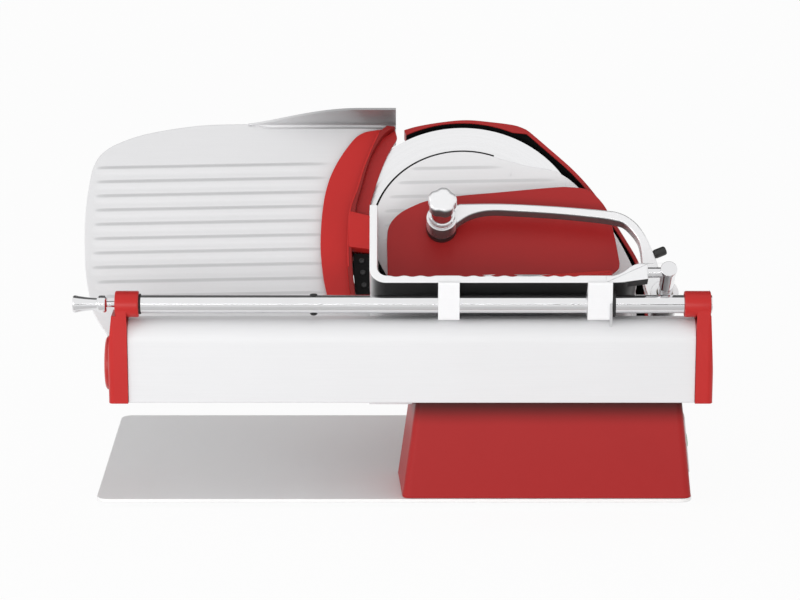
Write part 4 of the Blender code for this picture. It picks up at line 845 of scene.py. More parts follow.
def build_switches():
    finish = finishes()
    place = panel_place()
    low, high = reach("switch_panel", place)
    holes = []
    for node in ("on_button", "off_button"):
        spot = middle(node, place)
        holes.append(circle(0.0080, 48, (spot.x, spot.y)))
    face = slab("switch_face", rounded_rectangle(low.x, low.y, high.x, high.y, 0.006), low.z, high.z, place,
                0.0004, "high", holes)
    dress(face, finish.white, "machine", "switch_panel")
    for node, material, body in (("on_button", finish.green, "start_button"),
                                 ("off_button", finish.black, "stop_button")):
        base, tip = reach(node, place)
        spot = ((base.x + tip.x) / 2, (base.y + tip.y) / 2, 0)
        button = lathe(f"{node}_cap", [(0, tip.z - 0.0006), (0.0045, tip.z - 0.0004), (0.0066, tip.z),
                                       (0.0077, tip.z - 0.0009), (0.0077, 0), (0.0092, 0), (0.0092, base.z),
                                       (0, base.z)], place, 0.0005, 64, spot)
        dress(button, material, body, node)
    low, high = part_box("cord_gland")
    outer = turned_to(((low.x + high.x) / 2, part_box("pedestal")[1].y, (low.z + high.z) / 2), RIGHT, (0, 1, 0))
    tip = 0.018
    profile = [(0.012, 0.0003), (0.0087, 0.0003), (0.0087, -0.007), (0.0038, -0.007), (0.0038, tip),
               (0.0053, tip)]
    for i in range(5):
        step, wider = tip - 0.002 - i * 0.0026, i * 0.0003
        profile += [(0.0053 + wider, step + 0.0008), (0.0046 + wider, step), (0.0055 + wider, step - 0.0008)]
    profile += [(0.007, 0.0042), (0.012, 0.004)]
    gland = lathe("strain_relief", profile, outer, 0.0003, 64)
    dress(gland, finish.rubber, "machine", "cord_gland")


def housing_profile(inset, steps=24):
    """The long housing's section, with its rounded shoulder and its top sloping back to the blade."""
    low, high = reach("front_housing", SIDE)
    front, back, bottom, top = low.x + inset, high.x - inset, low.y + inset, high.y - inset
    shoulder, crown = 0.160, 0.018
    rise = BLADE[2][1]
    run = math.sqrt(1 - rise * rise)
    offset = BLADE.inverted() @ SIDE @ Vector((0, 0, 0))
    level = -0.1413 - inset
    height = lambda depth: (level - offset.y - run * depth) / rise
    depth = lambda up: (level - offset.y - rise * up) / run
    curve = [(crown - (crown - front) * math.cos(math.radians(a)),
              shoulder + (top - shoulder) * math.sin(math.radians(a)))
             for a in (90 * i / steps for i in range(steps + 1))]
    return [(front, bottom), *curve, (depth(top), top), (back, height(back)), (back, bottom)]


def build_housing():
    finish = finishes()
    low, high = HOUSING_BOX
    body = slab("housing_extrusion", eased(housing_profile(0), 0.0015), low.x, high.x, SIDE, 0.0004,
                holes=[housing_profile(0.003)])
    slide = middle("gauge_slide", BLADE)
    slot = rounded_rectangle(slide.x - 0.0145, -0.166, slide.x + 0.009, -0.1445, 0.003)
    combine(body, slab("slot", slot, -0.030, 0.0135, BLADE))
    dress(body, finish.white, "machine", "front_housing")
    build_end_cap("left", finish)
    build_end_cap("right", finish)


def build_end_cap(side, finish):
    """A red end casting: the closing plate, the ear that rises from it, and the boss round the rail."""
    node = f"end_cap_{side}"
    low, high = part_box(node)
    rail = RAIL.translation - SIDE.translation
    sizes = bpy.context.scene.slicer_sizes
    thick = {"left": (low.x, HOUSING_BOX[0].x - GAP), "right": (HOUSING_BOX[1].x + GAP, high.x)}[side]
    boss = {"left": (-0.2715, -0.2483), "right": (0.2899, 0.3158)}[side]
    ear = {"left": (boss[0] + 0.0007, thick[1]), "right": (thick[0], boss[1] - 0.0007)}[side]
    body = housing_profile(-0.002)
    foot, step = low.z - DECK_Z, rail.z - 0.0095
    outline = [(body[0][0], foot), (-0.0020, step), (0.0256, step), *body[-3:-1], (body[-1][0], foot)]
    plate = slab(f"{node}_plate", eased(outline, 0.0016), *thick, SIDE)
    near, far, deep = FRONT_Y - 0.0030, HOUSING_BOX[1].y + 0.004, sizes.cap_edge
    bend = FRONT_Y - 0.0020 + deep
    plan = {"left": [(thick[1], near), (thick[1], far), (thick[0], far), (thick[0], bend),
                     *arc(deep, 180, 270, 12, (thick[0] + deep, bend)), (thick[0] + deep, near)],
            "right": [(thick[0], near), (thick[1] - deep, near),
                      *arc(deep, 270, 360, 12, (thick[1] - deep, bend)), (thick[1], far),
                      (thick[0], far)]}[side]
    combine(plate, slab("upright_edge", plan, low.z - 0.01, high.z + 0.01, WORLD), 'INTERSECT')
    outer, inner, knee = {"left": (thick[0], thick[1] + 0.01, DECK_Z + step - 0.036),
                          "right": (thick[1], thick[0] - 0.01, DECK_Z + step - 0.060)}[side]
    shrink = 0.0045 if side == "left" else -0.0036
    above, below = DECK_Z + step + 0.001, low.z - 0.01
    slant = [(inner, below), (outer - shrink, below), (outer - shrink * 0.05, low.z), (outer, knee),
             (outer + shrink, above), (inner, above)]
    combine(plate, slab("slant", slant, -HOUSING_BOX[1].y - 0.02, -FRONT_Y + 0.02, FRONT), 'INTERSECT')
    softened(plate, 0.0013, 3, 50)
    # The end caps take the enamel painted lighter: painted light.
    dress(plate, finish.red_bright, "machine", node)
    spot = (rail.y, rail.z)
    neck = [(-0.0020, step - 0.010), *arc(0.0123, 184, 8, 24, spot), (0.0256, step), (0.0262, step - 0.004)]
    rise = slab(f"{node}_ear", neck, *ear, SIDE, 0.0010)
    dress(rise, finish.red_bright, "machine")
    bore = 0.0094
    ring = lathe(f"{node}_boss", tube(bore, 0.013, boss[1], boss[0]), RAIL, 0.0014, 96)
    dress(ring, finish.red_bright, "machine")
    if side == "left":
        seat = lathe("rail_socket", [(0, ear[0]), (0.0085, ear[0] - 0.0002), (bore, ear[0] + 0.001),
                                     (bore, boss[1] - 0.004), (0, boss[1] - 0.004)], RAIL, 0.0004, 64)
        dress(seat, finish.red_bright, "machine")


def build_rail():
    finish = finishes()
    low, high = reach("carriage_rail", RAIL)
    rail = lathe("rail_bar", tube(0, high.x, high.z, low.z), RAIL, 0.0009, 96)
    dress(rail, finish.chrome, "machine", "carriage_rail")
    low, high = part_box("rail_stop_pin")
    place = Matrix.Translation(middle("rail_stop_pin"))
    radius, half = (high.x - low.x) / 2, (high.z - low.z) / 2
    pin = lathe("stop_pin", [(0, half), (radius, half), (radius, 0.0013 - half), (radius * 0.6, -half),
                             (0, -half)], place, 0.0005, 48)
    dress(pin, finish.rubber, "machine", "rail_stop_pin")
    low, high = reach("rail_seal", RAIL)
    seal = lathe("wiper_ring_left", tube(0.0093, high.x, high.z, low.z), RAIL, 0.0004, 64)
    dress(seal, finish.rubber, "machine", "rail_seal")
    low, high = reach("lock_knob", RAIL)
    tip, neck, collar, end = low.z, -0.2895, -0.2798, high.z
    knob = lathe("lock_knob_turned", [
        (0, end), (0.003, end), (0.003, collar), (0.0070, collar), (0.0085, collar - 0.0016),
        (0.0087, collar - 0.0045), (0.0085, neck + 0.0020), (0.0072, neck + 0.0004), (0.0060, neck),
        (0.0062, neck - 0.004), (0.0070, neck - 0.012), (0.0080, tip + 0.0055), (0.0087, tip + 0.0030),
        (0.0087, tip + 0.0012), (0.0078, tip), (0.0050, tip + 0.0004), (0, tip + 0.0006)], RAIL, 0.0006, 64)
    dress(knob, finish.chrome, "rail_lock", "lock_knob")


def build_dial():
    finish = finishes()
    low, high = reach("thickness_dial", DIAL)
    radius, face = high.x, low.z
    disc = lathe("dial_disc", [
        (0, high.z - 0.0032), (0.0053, high.z - 0.0032), (0.0053, high.z), (radius, high.z),
        (radius, face + 0.0022), (radius - 0.0022, face + 0.0006), (0.0195, face + 0.0009),
        (0.0185, face + 0.0016), (0.010, face + 0.0016), (0.009, face + 0.0004), (0, face)], DIAL, 0.0007, 96)
    dress(disc, finish.dial, "dial", "thickness_dial")
    bar = slab("dial_grip", rounded_rectangle(-0.0045, -0.0165, 0.0045, 0.0165, 0.0044), face + 0.0001,
               face + 0.0025, DIAL, 0.0009, "low")
    dress(bar, finish.dial, "dial")


GAUGE_TOP, GAUGE_RIGHT, GAUGE_LOW = 0.1345, -0.0707, -0.115


def gauge_outline(radius):
    top = math.degrees(math.acos(GAUGE_RIGHT / radius))
    low = 180 + math.degrees(math.asin((AXLE_UP - GAUGE_LOW) / radius))
    left = smooth([(-0.3668, GAUGE_LOW), (-0.3813, -0.0914), (-0.3872, -0.0742), (-0.3942, -0.0338),
                   (-0.3968, 0.0200), (-0.3943, 0.0603), (-0.3901, 0.0842), (-0.3812, 0.0999),
                   (-0.3637, 0.1119), (-0.3322, 0.1234), (-0.2793, 0.1326), (-0.2262, GAUGE_TOP)], 8)
    return [(GAUGE_RIGHT, GAUGE_TOP), *arc(radius, top, low, 72, SPIN), *left]


def build_gauge_plate():
    """The gauge plate, its pressed ribs, and the flange along its top that widens to the right."""
    sizes, finish = bpy.context.scene.slicer_sizes, finishes()
    face, back = -0.0012, -0.0042
    body = slab("gauge_plate_casting", gauge_outline(0.1275), back, face, BLADE, sizes.edge)
    dress(body, finish.plate, "gauge", "gauge_plate")
    rows = []
    for i in range(10):
        left = -0.3885 if i < 8 else -0.3885 + 0.006 * (i - 7)
        rows.append((left, -0.1330, 0.0771 - sizes.rib_pitch * i, 0.021))
    mesh = ridge_mesh("gauge_ribs", rows, sizes.rib_width, sizes.rib_height, face)
    ribs = new_piece("gauge_plate_ribs", mesh, BLADE, 60)
    dress(ribs, finish.plate, "gauge")
    sections, flange_left = [], -0.2280
    for i in range(41):
        x = flange_left + (GAUGE_RIGHT - flange_left) * i / 40
        t = min(1.0, (x - flange_left) / 0.120)
        depth = face + 0.0012 + 0.0338 * math.sin(t * math.pi / 2) ** 1.25
        bend = min(0.006, (depth - face) * 0.7)
        line = [(x, GAUGE_TOP - bend + bend * math.sin(a), face + bend - bend * math.cos(a))
                for a in (math.pi / 2 * k / 8 for k in range(9))]
        line.append((x, GAUGE_TOP, min(depth, 0.0338)))
        sections.append(line)
    flange = loft("gauge_plate_flange", sections, BLADE)
    skin = flange.modifiers.new("thickness", 'SOLIDIFY')
    skin.thickness = 0.0024
    skin.offset = 1
    if flange.data.polygons[-1].normal.dot(UP_BLADE) > 0:
        skin.offset = -1
    softened(flange, 0.0006, 2, 50)
    dress(flange, finish.flange, "gauge")


def casting_side(inset):
    drawn = [(0.0718, 0.1238), (0.0913, 0.1044), (0.1155, 0.0796), (0.1336, 0.0569), (0.1513, 0.0290),
             (0.1701, -0.0055), (0.1825, -0.0317), (0.1900, -0.0600)]
    return [(x - inset * 0.85, y - inset * 0.5) for x, y in drawn]


def build_blade_housing():
    """The red ring casting that carries the blade, dished, with a black sheet in the dish for painted shade,
    and its boss and foot.
    """
    sizes, finish = bpy.context.scene.slicer_sizes, finishes()
    side, bottom, wall, back = casting_side(0), -0.150, 0.0045, -0.0201
    top = [(-0.0621, 0.1263), (-0.0472, 0.1311), (-0.0217, 0.1360), (0.0039, 0.1385), (0.0295, 0.1362),
           (0.0550, 0.1323), (0.0676, 0.1272)]
    outline = [*smooth(top, 6), *smooth(side, 8), (side[-1][0], bottom), (-0.020, bottom),
               *arc(0.104, 235, 118, 60)]
    body = slab("ring_casting", eased(outline, 0.002, 3), back, 0.0005, BLADE)
    inner = casting_side(wall)
    floor, round_room, left = bottom + 0.022, 0.1306, -0.150
    dish = [*arc(round_room, 150, 66, 60, SPIN), *smooth(inner, 8), (inner[-1][0], floor),
            (left, floor), (left, 0.067)]
    skin, depth = 0.0003, back + 0.005
    wider = [*arc(round_room + skin, 150, 66, 60, SPIN), *smooth(casting_side(wall - skin), 8),
             (inner[-1][0], floor - skin), (left, floor - skin), (left, 0.067)]
    # A thin black sheet laid in the dish: painted shade deep inside the ring casting.
    shade_sheet = slab("dish_shade_sheet", eased(outline, 0.002, 3), depth - skin, -0.0010, BLADE)
    combine(shade_sheet, slab("wider", wider, depth - 0.004, 0.010, BLADE), 'INTERSECT')
    combine(shade_sheet, slab("dish", dish, depth, 0.010, BLADE))
    combine(body, slab("dish", wider, depth - skin, 0.010, BLADE))
    hub = 0.0203
    for piece in (body, shade_sheet):
        combine(piece, lathe("hub_hole", tube(0, hub, 0.01, -0.03), AXLE, 0, 96))
    softened(body, sizes.casting_edge, 3, 50)
    dress(body, finish.red, "machine", "blade_housing")
    dress(shade_sheet, finish.recess, "machine")
    boss = lathe("bearing_housing", tube(hub, 0.0265, -0.0175, -0.055), AXLE, 0.0008, 96)
    dress(boss, finish.red, "machine")
    behind, under, thick = HOUSING_BOX[1].y, HOUSING_BOX[0].z, 0.018
    foot = slab("casting_foot", rounded_rectangle(0.060, behind + GAP, 0.240, behind + thick, 0.002), under,
                under + thick, WORLD, 0.0012)
    dress(foot, finish.red, "machine")


def build_motor_cover():
    """The rear shell over the drive, with the motor's bulge, and the tie rod with its star grip."""
    finish = finishes()
    motor = middle("motor", BLADE)
    low, high = reach("motor_cover", BLADE)
    centre, wall, rear = (motor.x, -0.070), 0.003, -0.076
    body = slab("motor_cover_casting", belt_outline(0.070, centre, 0.052), rear, high.z, BLADE, 0.008, "low",
                segments=6)
    room = 0.0406
    can = room + wall
    at = (centre[0], centre[1], 0)
    bulge = lathe("motor_bulge", [(0, rear + 0.001), (can, rear + 0.001), (can, low.z + 0.009),
                                  (can - 0.009, low.z), (0, low.z)], BLADE, 0.004, 96, at)
    combine(body, bulge, 'UNION')
    combine(body, slab("hollow", belt_outline(0.067, centre, 0.049), rear + wall, high.z + 0.01, BLADE))
    combine(body, lathe("can_hollow", [(0, rear + 0.01), (room, rear + 0.01), (room, low.z + 0.007),
                                       (0.0366, low.z + wall), (0, low.z + wall)], BLADE, 0, 64, at))
    combine(body, lathe("tie_hole", tube(0, 0.0043, 0.0, rear - 0.01), AXLE, 0, 48))
    dress(weighted(body), finish.red, "machine", "motor_cover")
    low, high = reach("cover_tie_knob", AXLE)
    grip = slab("tie_grip_star", lobed(0.0160, 0.0012, 8), low.z, low.z + 0.018, AXLE, 0.0022)
    dress(grip, finish.black, "cover_tie", "cover_tie_knob")
    stem = lathe("tie_stem", tube(0, 0.004, high.z, low.z + 0.004), AXLE, 0.0006, 48)
    dress(stem, finish.steel, "cover_tie")


def build_blade():
    finish = finishes()
    radius = reach("blade", AXLE)[1].x
    disc = lathe("blade_disc", [
        (0.020, -0.004), (0.107, -0.004), (0.109, -0.0037), (radius, 0), (radius, -0.0005), (0.112, -0.0063),
        (0.110, -0.0065), (0.020, -0.0065)], AXLE, 0, 192)
    dress(disc, finish.blade, "blade_group", "blade")
    base = -0.0037
    for number in (1, 2, 3):
        node = f"blade_screw_{number}"
        spot = middle(node, AXLE)
        screw = lathe(f"{node}_head", [(0, base + 0.0010), (0.0019, base + 0.0010), (0.0021, base + 0.0026),
                                       (0.0036, base + 0.0028), (0.0050, base + 0.0010), (0.0050, base),
                                       (0.0025, base), (0.0025, -0.0108), (0, -0.0108)], AXLE, 0.0003, 48,
                      (spot.x, spot.y, 0))
        dress(screw, finish.steel, "blade_group", node)


def finish_inside():
    """The solids that show little or nothing keep their shapes and take a finish."""
    finish = finishes()
    for node in ("blade_shaft", "blade_pulley", "front_bearing", "rear_bearing", "motor", "motor_shaft",
                 "motor_pulley", "dial_cam_shaft", "gauge_slide", "slide_guide"):
        dress_node(node, finish.steel)
    dress_node("drive_belt", finish.rubber)
    dress_node("switch_box", finish.black)
    dress_node("gauge_arm", finish.white)


def build_blade_cover():
    """The ribbed disc in front of the blade, its wing to the right, a black ring round its edge for painted
    shadow, and its hub.
    """
    sizes, finish = bpy.context.scene.slicer_sizes, finishes()
    wing = smooth([(0.0394, 0.0902), (0.0659, 0.0823), (0.0906, 0.0775), (0.1044, 0.0714), (0.1195, 0.0583),
                   (0.1403, 0.0316), (0.1586, 0.0002), (0.1700, -0.0240), (0.1775, -0.0430)], 8)
    disc = 0.0949
    rim = arc(disc, -55, -293, 120, SPIN)
    low, high = 0.0008, 0.0028
    cover = slab("cover_disc", [*wing, (0.1775, -0.116), (0.062, -0.116), *rim], low, high, BLADE, 0.0005)
    dress(cover, finish.cover, "machine", "blade_cover")
    # A thin black ring round the disc's edge: a painted shadow in the gap behind the cover's rim.
    edge_shadow = [*arc(disc + 0.0021, -70, -290, 120, SPIN), *arc(disc - 0.0009, -290, -70, 120, SPIN)]
    dress(slab("cover_edge_shadow", edge_shadow, low - 0.0004, low + 0.0009, BLADE), finish.recess, "machine")
    rows = []
    for i in range(11):
        up = 0.0740 - sizes.rib_pitch * i
        rise = abs(up - AXLE_UP)
        if rise > disc - 0.008:
            continue
        left = -math.sqrt(disc ** 2 - max(rise, 0.02) ** 2) + 0.008
        room = [x for x, y in wing if y > up + 0.0115]
        rows.append((left, min(0.160, room[-1] if room else 0.030), up, 0.021))
    mesh = ridge_mesh("cover_rib_mesh", rows, sizes.rib_width, sizes.rib_height, high)
    ribs = new_piece("cover_ribs", mesh, BLADE, 60)
    dress(ribs, finish.cover, "machine")
    boss = lathe("cover_hub", tube(0.0043, 0.008, low + 0.0005, -0.010), AXLE, 0.0004, 48)
    dress(boss, finish.steel, "machine")


TABLE_SURFACE, TABLE_THICK = -0.1174, 0.0084


def table_outline(left, right, wall, wave):
    """The food table seen from its front end: wall, rounded corner, grooved floor and lipped right end."""
    surface = TABLE_SURFACE
    low = surface - TABLE_THICK
    outer, inner_radius, rim = 0.016, 0.0095, 0.003
    waves = []
    for start, end, count in ((0.1119, 0.0725, 3), (0.0518, -0.0093, 4), (-0.0300, -0.0782, 3)):
        for i in range(16 * count + 1):
            t = i / (16 * count)
            waves.append((start + (end - start) * t,
                          surface - wave * (1 - math.cos(2 * math.pi * count * t)) / 2))
    inner = left + wall
    return [*arc(rim, 90, 180, 6, (left + rim, 0.019)),
            *arc(outer, 180, 270, 20, (left + outer, low + outer)),
            *smooth([(right - 0.020, low), (right - 0.012, low + 0.0006), (right - 0.005, low + 0.004),
                     (right, surface), (right, surface + 0.005), (right - 0.002, surface + 0.006),
                     (right - 0.006, surface + 0.0055), (right - 0.012, surface + 0.001),
                     (right - 0.018, surface)], 4),
            *waves, *arc(inner_radius, 270, 180, 14, (inner + inner_radius, surface + inner_radius)),
            *arc(rim, 0, 90, 6, (inner - rim, 0.019))]


def build_table():
    sizes, finish = bpy.context.scene.slicer_sizes, finishes()
    left, surface, wall, right = reach("food_table", BLADE)[0].x, TABLE_SURFACE, 0.0075, 0.168
    near, far, beyond = 0.006, 0.146, 0.02
    table = slab("table_casting", table_outline(left, right, wall, sizes.wave_height), near, far, BLADE,
                 0.0008)
    wall_near, wall_far = 0.022, -0.0395
    fall = (wall_far - wall_near) / (far - near)
    cutter = [(wall_near + fall * (q - near), q) for q in (near - beyond, far + beyond)]
    cutter += [(0.08, far + beyond), (0.08, near - beyond)]
    combine(table, slab("wall_slope", cutter, left - 0.01, left + wall + 0.006, ACROSS))
    softened(table, 0.0008, 3, 45)
    dress(table, finish.table, "carriage", "food_table")
    low = surface - TABLE_THICK
    under = smooth([(0.136, low), (0.150, low + 0.0002), (0.163, -0.1238), (0.178, -0.1217)], 6)
    over = smooth([(0.178, -0.1047), (0.168, -0.1049), (0.161, -0.1080), (0.153, -0.1142),
                   (0.144, surface - 0.0004), (0.136, surface - 0.0008)], 6)
    for name, start in (("table_lug_front", far - 0.0118), ("table_lug_rear", near - 0.0004)):
        piece = slab(name, eased([*under, *over], 0.0005), start, start + 0.0122, BLADE, 0.0007)
        dress(piece, finish.table, "carriage")


def build_carriage_trim():
    """The guide rod and its stubs, the slide blocks, the wiper, the clip and the skid."""
    finish = finishes()
    low, high = reach("guide_rod", PUSHER)
    radius, head = 0.0075, 0.0082
    rod = lathe("guide_rod_bar", [(0, high.z), (head, high.z), (head, high.z - 0.004),
                                  (radius, high.z - 0.0048), (radius, low.z), (0, low.z)], PUSHER, 0.0009, 96)
    dress(rod, finish.chrome, "carriage", "guide_rod")
    lug_edge = 0.178
    for name, out in (("rod_stub_front", 0.140), ("rod_stub_rear", 0.012)):
        place = BLADE @ Matrix.Translation((lug_edge, -0.1114, out)) @ Matrix.Rotation(math.pi / 2, 4, 'Y')
        stub = lathe(name, tube(0, 0.0052, 0.0205, -0.004), place, 0.0003, 48)
        dress(stub, finish.chrome, "carriage")
    rail = RAIL.translation - SIDE.translation
    for side in ("left", "right"):
        node = f"slide_block_{side}"
        low, high = reach(node, SIDE)
        top = TABLE_SURFACE - TABLE_THICK - GAP
        outline = eased([(low.x, low.y), (high.x, low.y), (high.x, block_top(high.x, top)),
                         (low.x, block_top(low.x, top))], 0.0025)
        block = slab(f"{node}_machined", outline, low.z, high.z, SIDE, 0.0002,
                     holes=[circle(0.0095, 96, (rail.y, rail.z))])
        if side == "left":
            half = 0.0047
            way = rectangle(rail.y - half, rail.z - 0.0121, rail.y + half, rail.z + 0.0109)
            combine(block, slab("pin_way", eased(way, 0.0004), low.z - 0.01, high.z + 0.01, SIDE))
        dress(block, finish.block, "carriage", node)
    low, high = reach("rail_wiper", RAIL)
    wiper = lathe("wiper_ring", tube(0.0094, high.x, high.z, low.z), RAIL, 0.0004, 96)
    dress(wiper, finish.rubber, "carriage", "rail_wiper")
    low, high = reach("carriage_clip", WORLD)
    clip = slab("spring_clip", eased(rectangle(low.x, low.z, high.x, high.z), 0.0009), -high.y, -low.y, FRONT,
                0.0004)
    dress(clip, finish.chrome, "carriage", "carriage_clip")
    low, high = reach("carriage_skid", BLADE)
    skid = slab("skid_pad", rounded_rectangle(low.x, low.y, high.x, high.y, 0.002), low.z, high.z, BLADE,
                0.001)
    dress(skid, finish.black, "carriage", "carriage_skid")


def block_top(depth, up):
    """Height in the side frame of the sloping plane that lies up along the blade."""
    rise, run = BLADE[2][1], BLADE[1][1]
    offset = (BLADE.inverted() @ SIDE @ Vector((0, 0, 0))).y
    return (up - offset - run * depth) / rise


def build_guard():
    """The red hand guard: a crescent, its raised lip, the band inside it, and the block to the table."""
    finish = finishes()
    left = [(-0.0802, 0.1235), (-0.0935, 0.1219), (-0.1062, 0.1185), (-0.1168, 0.1090), (-0.1318, 0.0847),
            (-0.1421, 0.0585), (-0.1475, 0.0265), (-0.1492, -0.0145), (-0.1462, -0.0493),
            (-0.1418, -0.0723)]
    lip_left = [(-0.1170, -0.0780), (-0.1203, -0.0436), (-0.1210, -0.0157), (-0.1192, 0.0221),
                (-0.1115, 0.0480), (-0.1053, 0.0718), (-0.0970, 0.0958), (-0.0897, 0.1138),
                (-0.0802, 0.1235)]
    lip_right = [(-0.0717, 0.1223), (-0.0844, 0.1114), (-0.0959, 0.0898), (-0.1022, 0.0694),
                 (-0.1073, 0.0480), (-0.1124, 0.0256), (-0.1160, -0.0157), (-0.1155, -0.0436),
                 (-0.1120, -0.0780)]
    band = [(-0.1120, 0.0050), (-0.0992, 0.0050), (-0.0984, 0.0262), (-0.0968, 0.0368), (-0.0927, 0.0523),
            (-0.0875, 0.0701), (-0.0801, 0.0905), (-0.0738, 0.1037), (-0.0696, 0.1122), (-0.0717, 0.1220)]
    low, high = 0.005, 0.008
    inside = smooth([(x + 0.001, y) for x, y in lip_left], 8)[:-1]
    crescent = slab("guard_crescent", [*smooth(left, 8), *inside], low, high, BLADE, 0.0009)
    # The crescent and the block take the enamel painted lighter: painted light.
    dress(crescent, finish.red_bright, "carriage", "hand_guard")
    # The raised lip takes the enamel painted darker: painted shade on its side.
    lip = slab("guard_lip", [*smooth(lip_left, 8), *smooth(lip_right, 8)], low, low + 0.011, BLADE, 0.0012)
    dress(lip, finish.lip, "carriage")
    # A thin strip in the enamel painted lighter along the lip's crest: a painted highlight.
    trim = [(x - 0.0002, y) for x, y in lip_left[1:-1]]
    back = reversed(smooth([(x + 0.0016, y) for x, y in trim], 8))
    edge = slab("guard_lip_highlight", [*smooth(trim, 8), *back], low + 0.0104, low + 0.0116, BLADE, 0.0004,
                "high")
    dress(edge, finish.red_bright, "carriage")
    # The band inside the lip takes the plain enamel, darker than the crescent: painted shade in the recess.
    inner = slab("guard_band", [*smooth(band, 8), (-0.0865, 0.1114), (-0.0980, 0.0898), (-0.1043, 0.0694),
                                (-0.1094, 0.0480), (-0.1140, 0.0256)], low, high - 0.0005, BLADE, 0.0007)
    dress(inner, finish.red, "carriage")
    wall = reach("food_table", BLADE)[0].x - GAP
    corners = [(-0.1196, -0.0205), (wall, -0.0237), (wall, 0.0154), (-0.1196, 0.0213)]
    block = slab("guard_block", eased(corners, 0.0016), low + 0.001, low + 0.012, BLADE, 0.0010, "high")
    dress(block, finish.red_bright, "carriage")
    support = [(-0.1150, -0.0245), (-0.1149, -0.0436), (-0.1114, -0.0780), (wall, -0.0780), (wall, -0.0245)]
    plate = slab("guard_support_plate", eased(support, 0.0008), low, high, BLADE, 0.0004)
    dress(plate, finish.recess, "carriage", "guard_support")
    spots = (-0.1062, -0.0330), (-0.1048, -0.0465), (-0.1035, -0.0610)
    for number, (x, y) in enumerate(spots, 1):
        screw = lathe(f"support_screw_{number}", [
            (0, high + 0.0004), (0.0013, high + 0.0004), (0.0015, high + 0.0014), (0.0026, high + 0.0012),
            (0.0030, high + 0.0004), (0.0030, high - 0.0004), (0, high - 0.0004)], BLADE, 0.0002, 32,
            (x, y, 0))
        dress(screw, finish.black, "carriage")


def build_pusher():
    """The pusher's arm with its eye and hub, the bushing, the post's sleeve and the bumper."""
    finish = finishes()
    arm_top = [(-0.0050, 0.0022), (0.0362, 0.0026), (0.0874, 0.0), (0.1385, -0.0046), (0.1589, -0.0081),
               (0.1739, -0.0184), (0.1836, -0.0334), (0.1910, -0.0528), (0.1975, -0.0750), (0.2020, -0.0990)]
    arm_low = [(0.1850, -0.1080), (0.1800, -0.0850), (0.1794, -0.0652), (0.1780, -0.0471),
               (0.1743, -0.0356), (0.1636, -0.0219), (0.1535, -0.0179), (0.1382, -0.0150),
               (0.0974, -0.0104), (0.0565, -0.0075), (0.0258, -0.0064), (0.0052, -0.0115),
               (-0.0102, -0.0219)]
    low, high = 0.056, 0.070
    outline = [*smooth(arm_top, 8), *smooth(arm_low, 8), (-0.0220, -0.0260), (-0.0220, -0.0040)]
    arm = slab("arm_casting", outline, low, high, BLADE, 0.0026, segments=5)
    dress(arm, finish.cast, "pusher", "pusher_arm")
    post = 0.0063
    eye = lathe("arm_eye", tube(post, 0.0157, high + 0.002, low - 0.003), GRIP, 0.0012, 96)
    dress(eye, finish.cast, "pusher")
    bore, outer, lip, front, rear = 0.0100, 0.0140, 0.0944, 0.096, 0.050
    hub = lathe("arm_hub", [(bore, lip), (0.0080, lip), (0.0080, front), (outer, front), (outer, rear),
                            (bore, rear)], PUSHER, 0.0008, 96)
    dress(hub, finish.cast, "pusher")
    bushing = lathe("bushing_turned", tube(0.0078, 0.0097, lip - 0.0002, rear), PUSHER, 0.0003, 96)
    dress(bushing, finish.brass, "arm_slider", "arm_bushing")
    base, tip = reach("pusher_post", GRIP)
    sleeve = lathe("post_sleeve", [
        (0, tip.z), (0.006, tip.z), (0.006, base.z + 0.0075), (0.0150, base.z + 0.0075),
        (0.0157, base.z + 0.0060), (0.0157, base.z), (0, base.z)], GRIP, 0.0006, 96)
    dress(sleeve, finish.black, "pusher", "pusher_post")
    spot = middle("arm_bumper")
    lean = BLADE @ Matrix.Rotation(math.radians(24), 4, 'Z')
    axis = lean.to_3x3() @ Vector((1, 0, 0))
    place = turned_to(spot - axis * 0.0065, AWAY, axis)
    bumper = lathe("rest_bumper", [(0, 0.013), (0.0040, 0.013), (0.0047, 0.0115), (0.0047, 0.0020),
                                   (0.0040, 0), (0, 0)], place, 0.0006, 64)
    dress(bumper, finish.black, "pusher", "arm_bumper")


def build_pusher_plate():
    """The pusher's plate, the fold low on its right half, and the spikes that hold the food."""
    finish = finishes()
    top = [(-0.0790, -0.0700), (-0.0798, -0.0259), (-0.0767, -0.0086), (-0.0664, 0.0042), (-0.0509, 0.0135),
           (-0.0353, 0.0194), (-0.0042, 0.0246), (0.0373, 0.0287), (0.0893, 0.0340), (0.1101, 0.0346),
           (0.1307, 0.0299), (0.1477, 0.0077), (0.1540, -0.0201), (0.1574, -0.0432), (0.1586, -0.0546),
           (0.1569, -0.0603), (0.1500, -0.0665)]
    outline = [*smooth(top, 8), (0.1440, -0.0760), (0.1420, -0.1085), (0.1360, -0.1145), (-0.0700, -0.1145),
               (-0.0770, -0.1075)]
    face = slab("pusher_face", outline, 0.0415, 0.0445, BLADE, 0.0009)
    dress(face, finish.red, "pusher", "pusher_plate")
    turned_edge = [(0.036, -0.0760), (0.052, -0.0715), (0.1465, -0.0640), (0.1520, -0.0655),
                   (0.1455, -0.0740), (0.1430, -0.0900), (0.036, -0.0900)]
    fold = slab("pusher_fold", eased(turned_edge, 0.0016), 0.0440, 0.0500, BLADE, 0.0014, "high")
    # The fold takes the enamel painted lighter: a painted highlight on the lit ledge.
    dress(fold, finish.red_bright, "pusher")
    for number in range(12):
        x = -0.050 + 0.055 * (number % 4)
        y = -0.095 + 0.040 * (number // 4)
        spike = lathe(f"spike_{number + 1}", [(0, 0.0416), (0.0018, 0.0416), (0.0015, 0.0395),
                                              (0.0003, 0.0376), (0, 0.0376)], BLADE, 0, 24, (x, y, 0))
        dress(spike, finish.steel, "pusher")


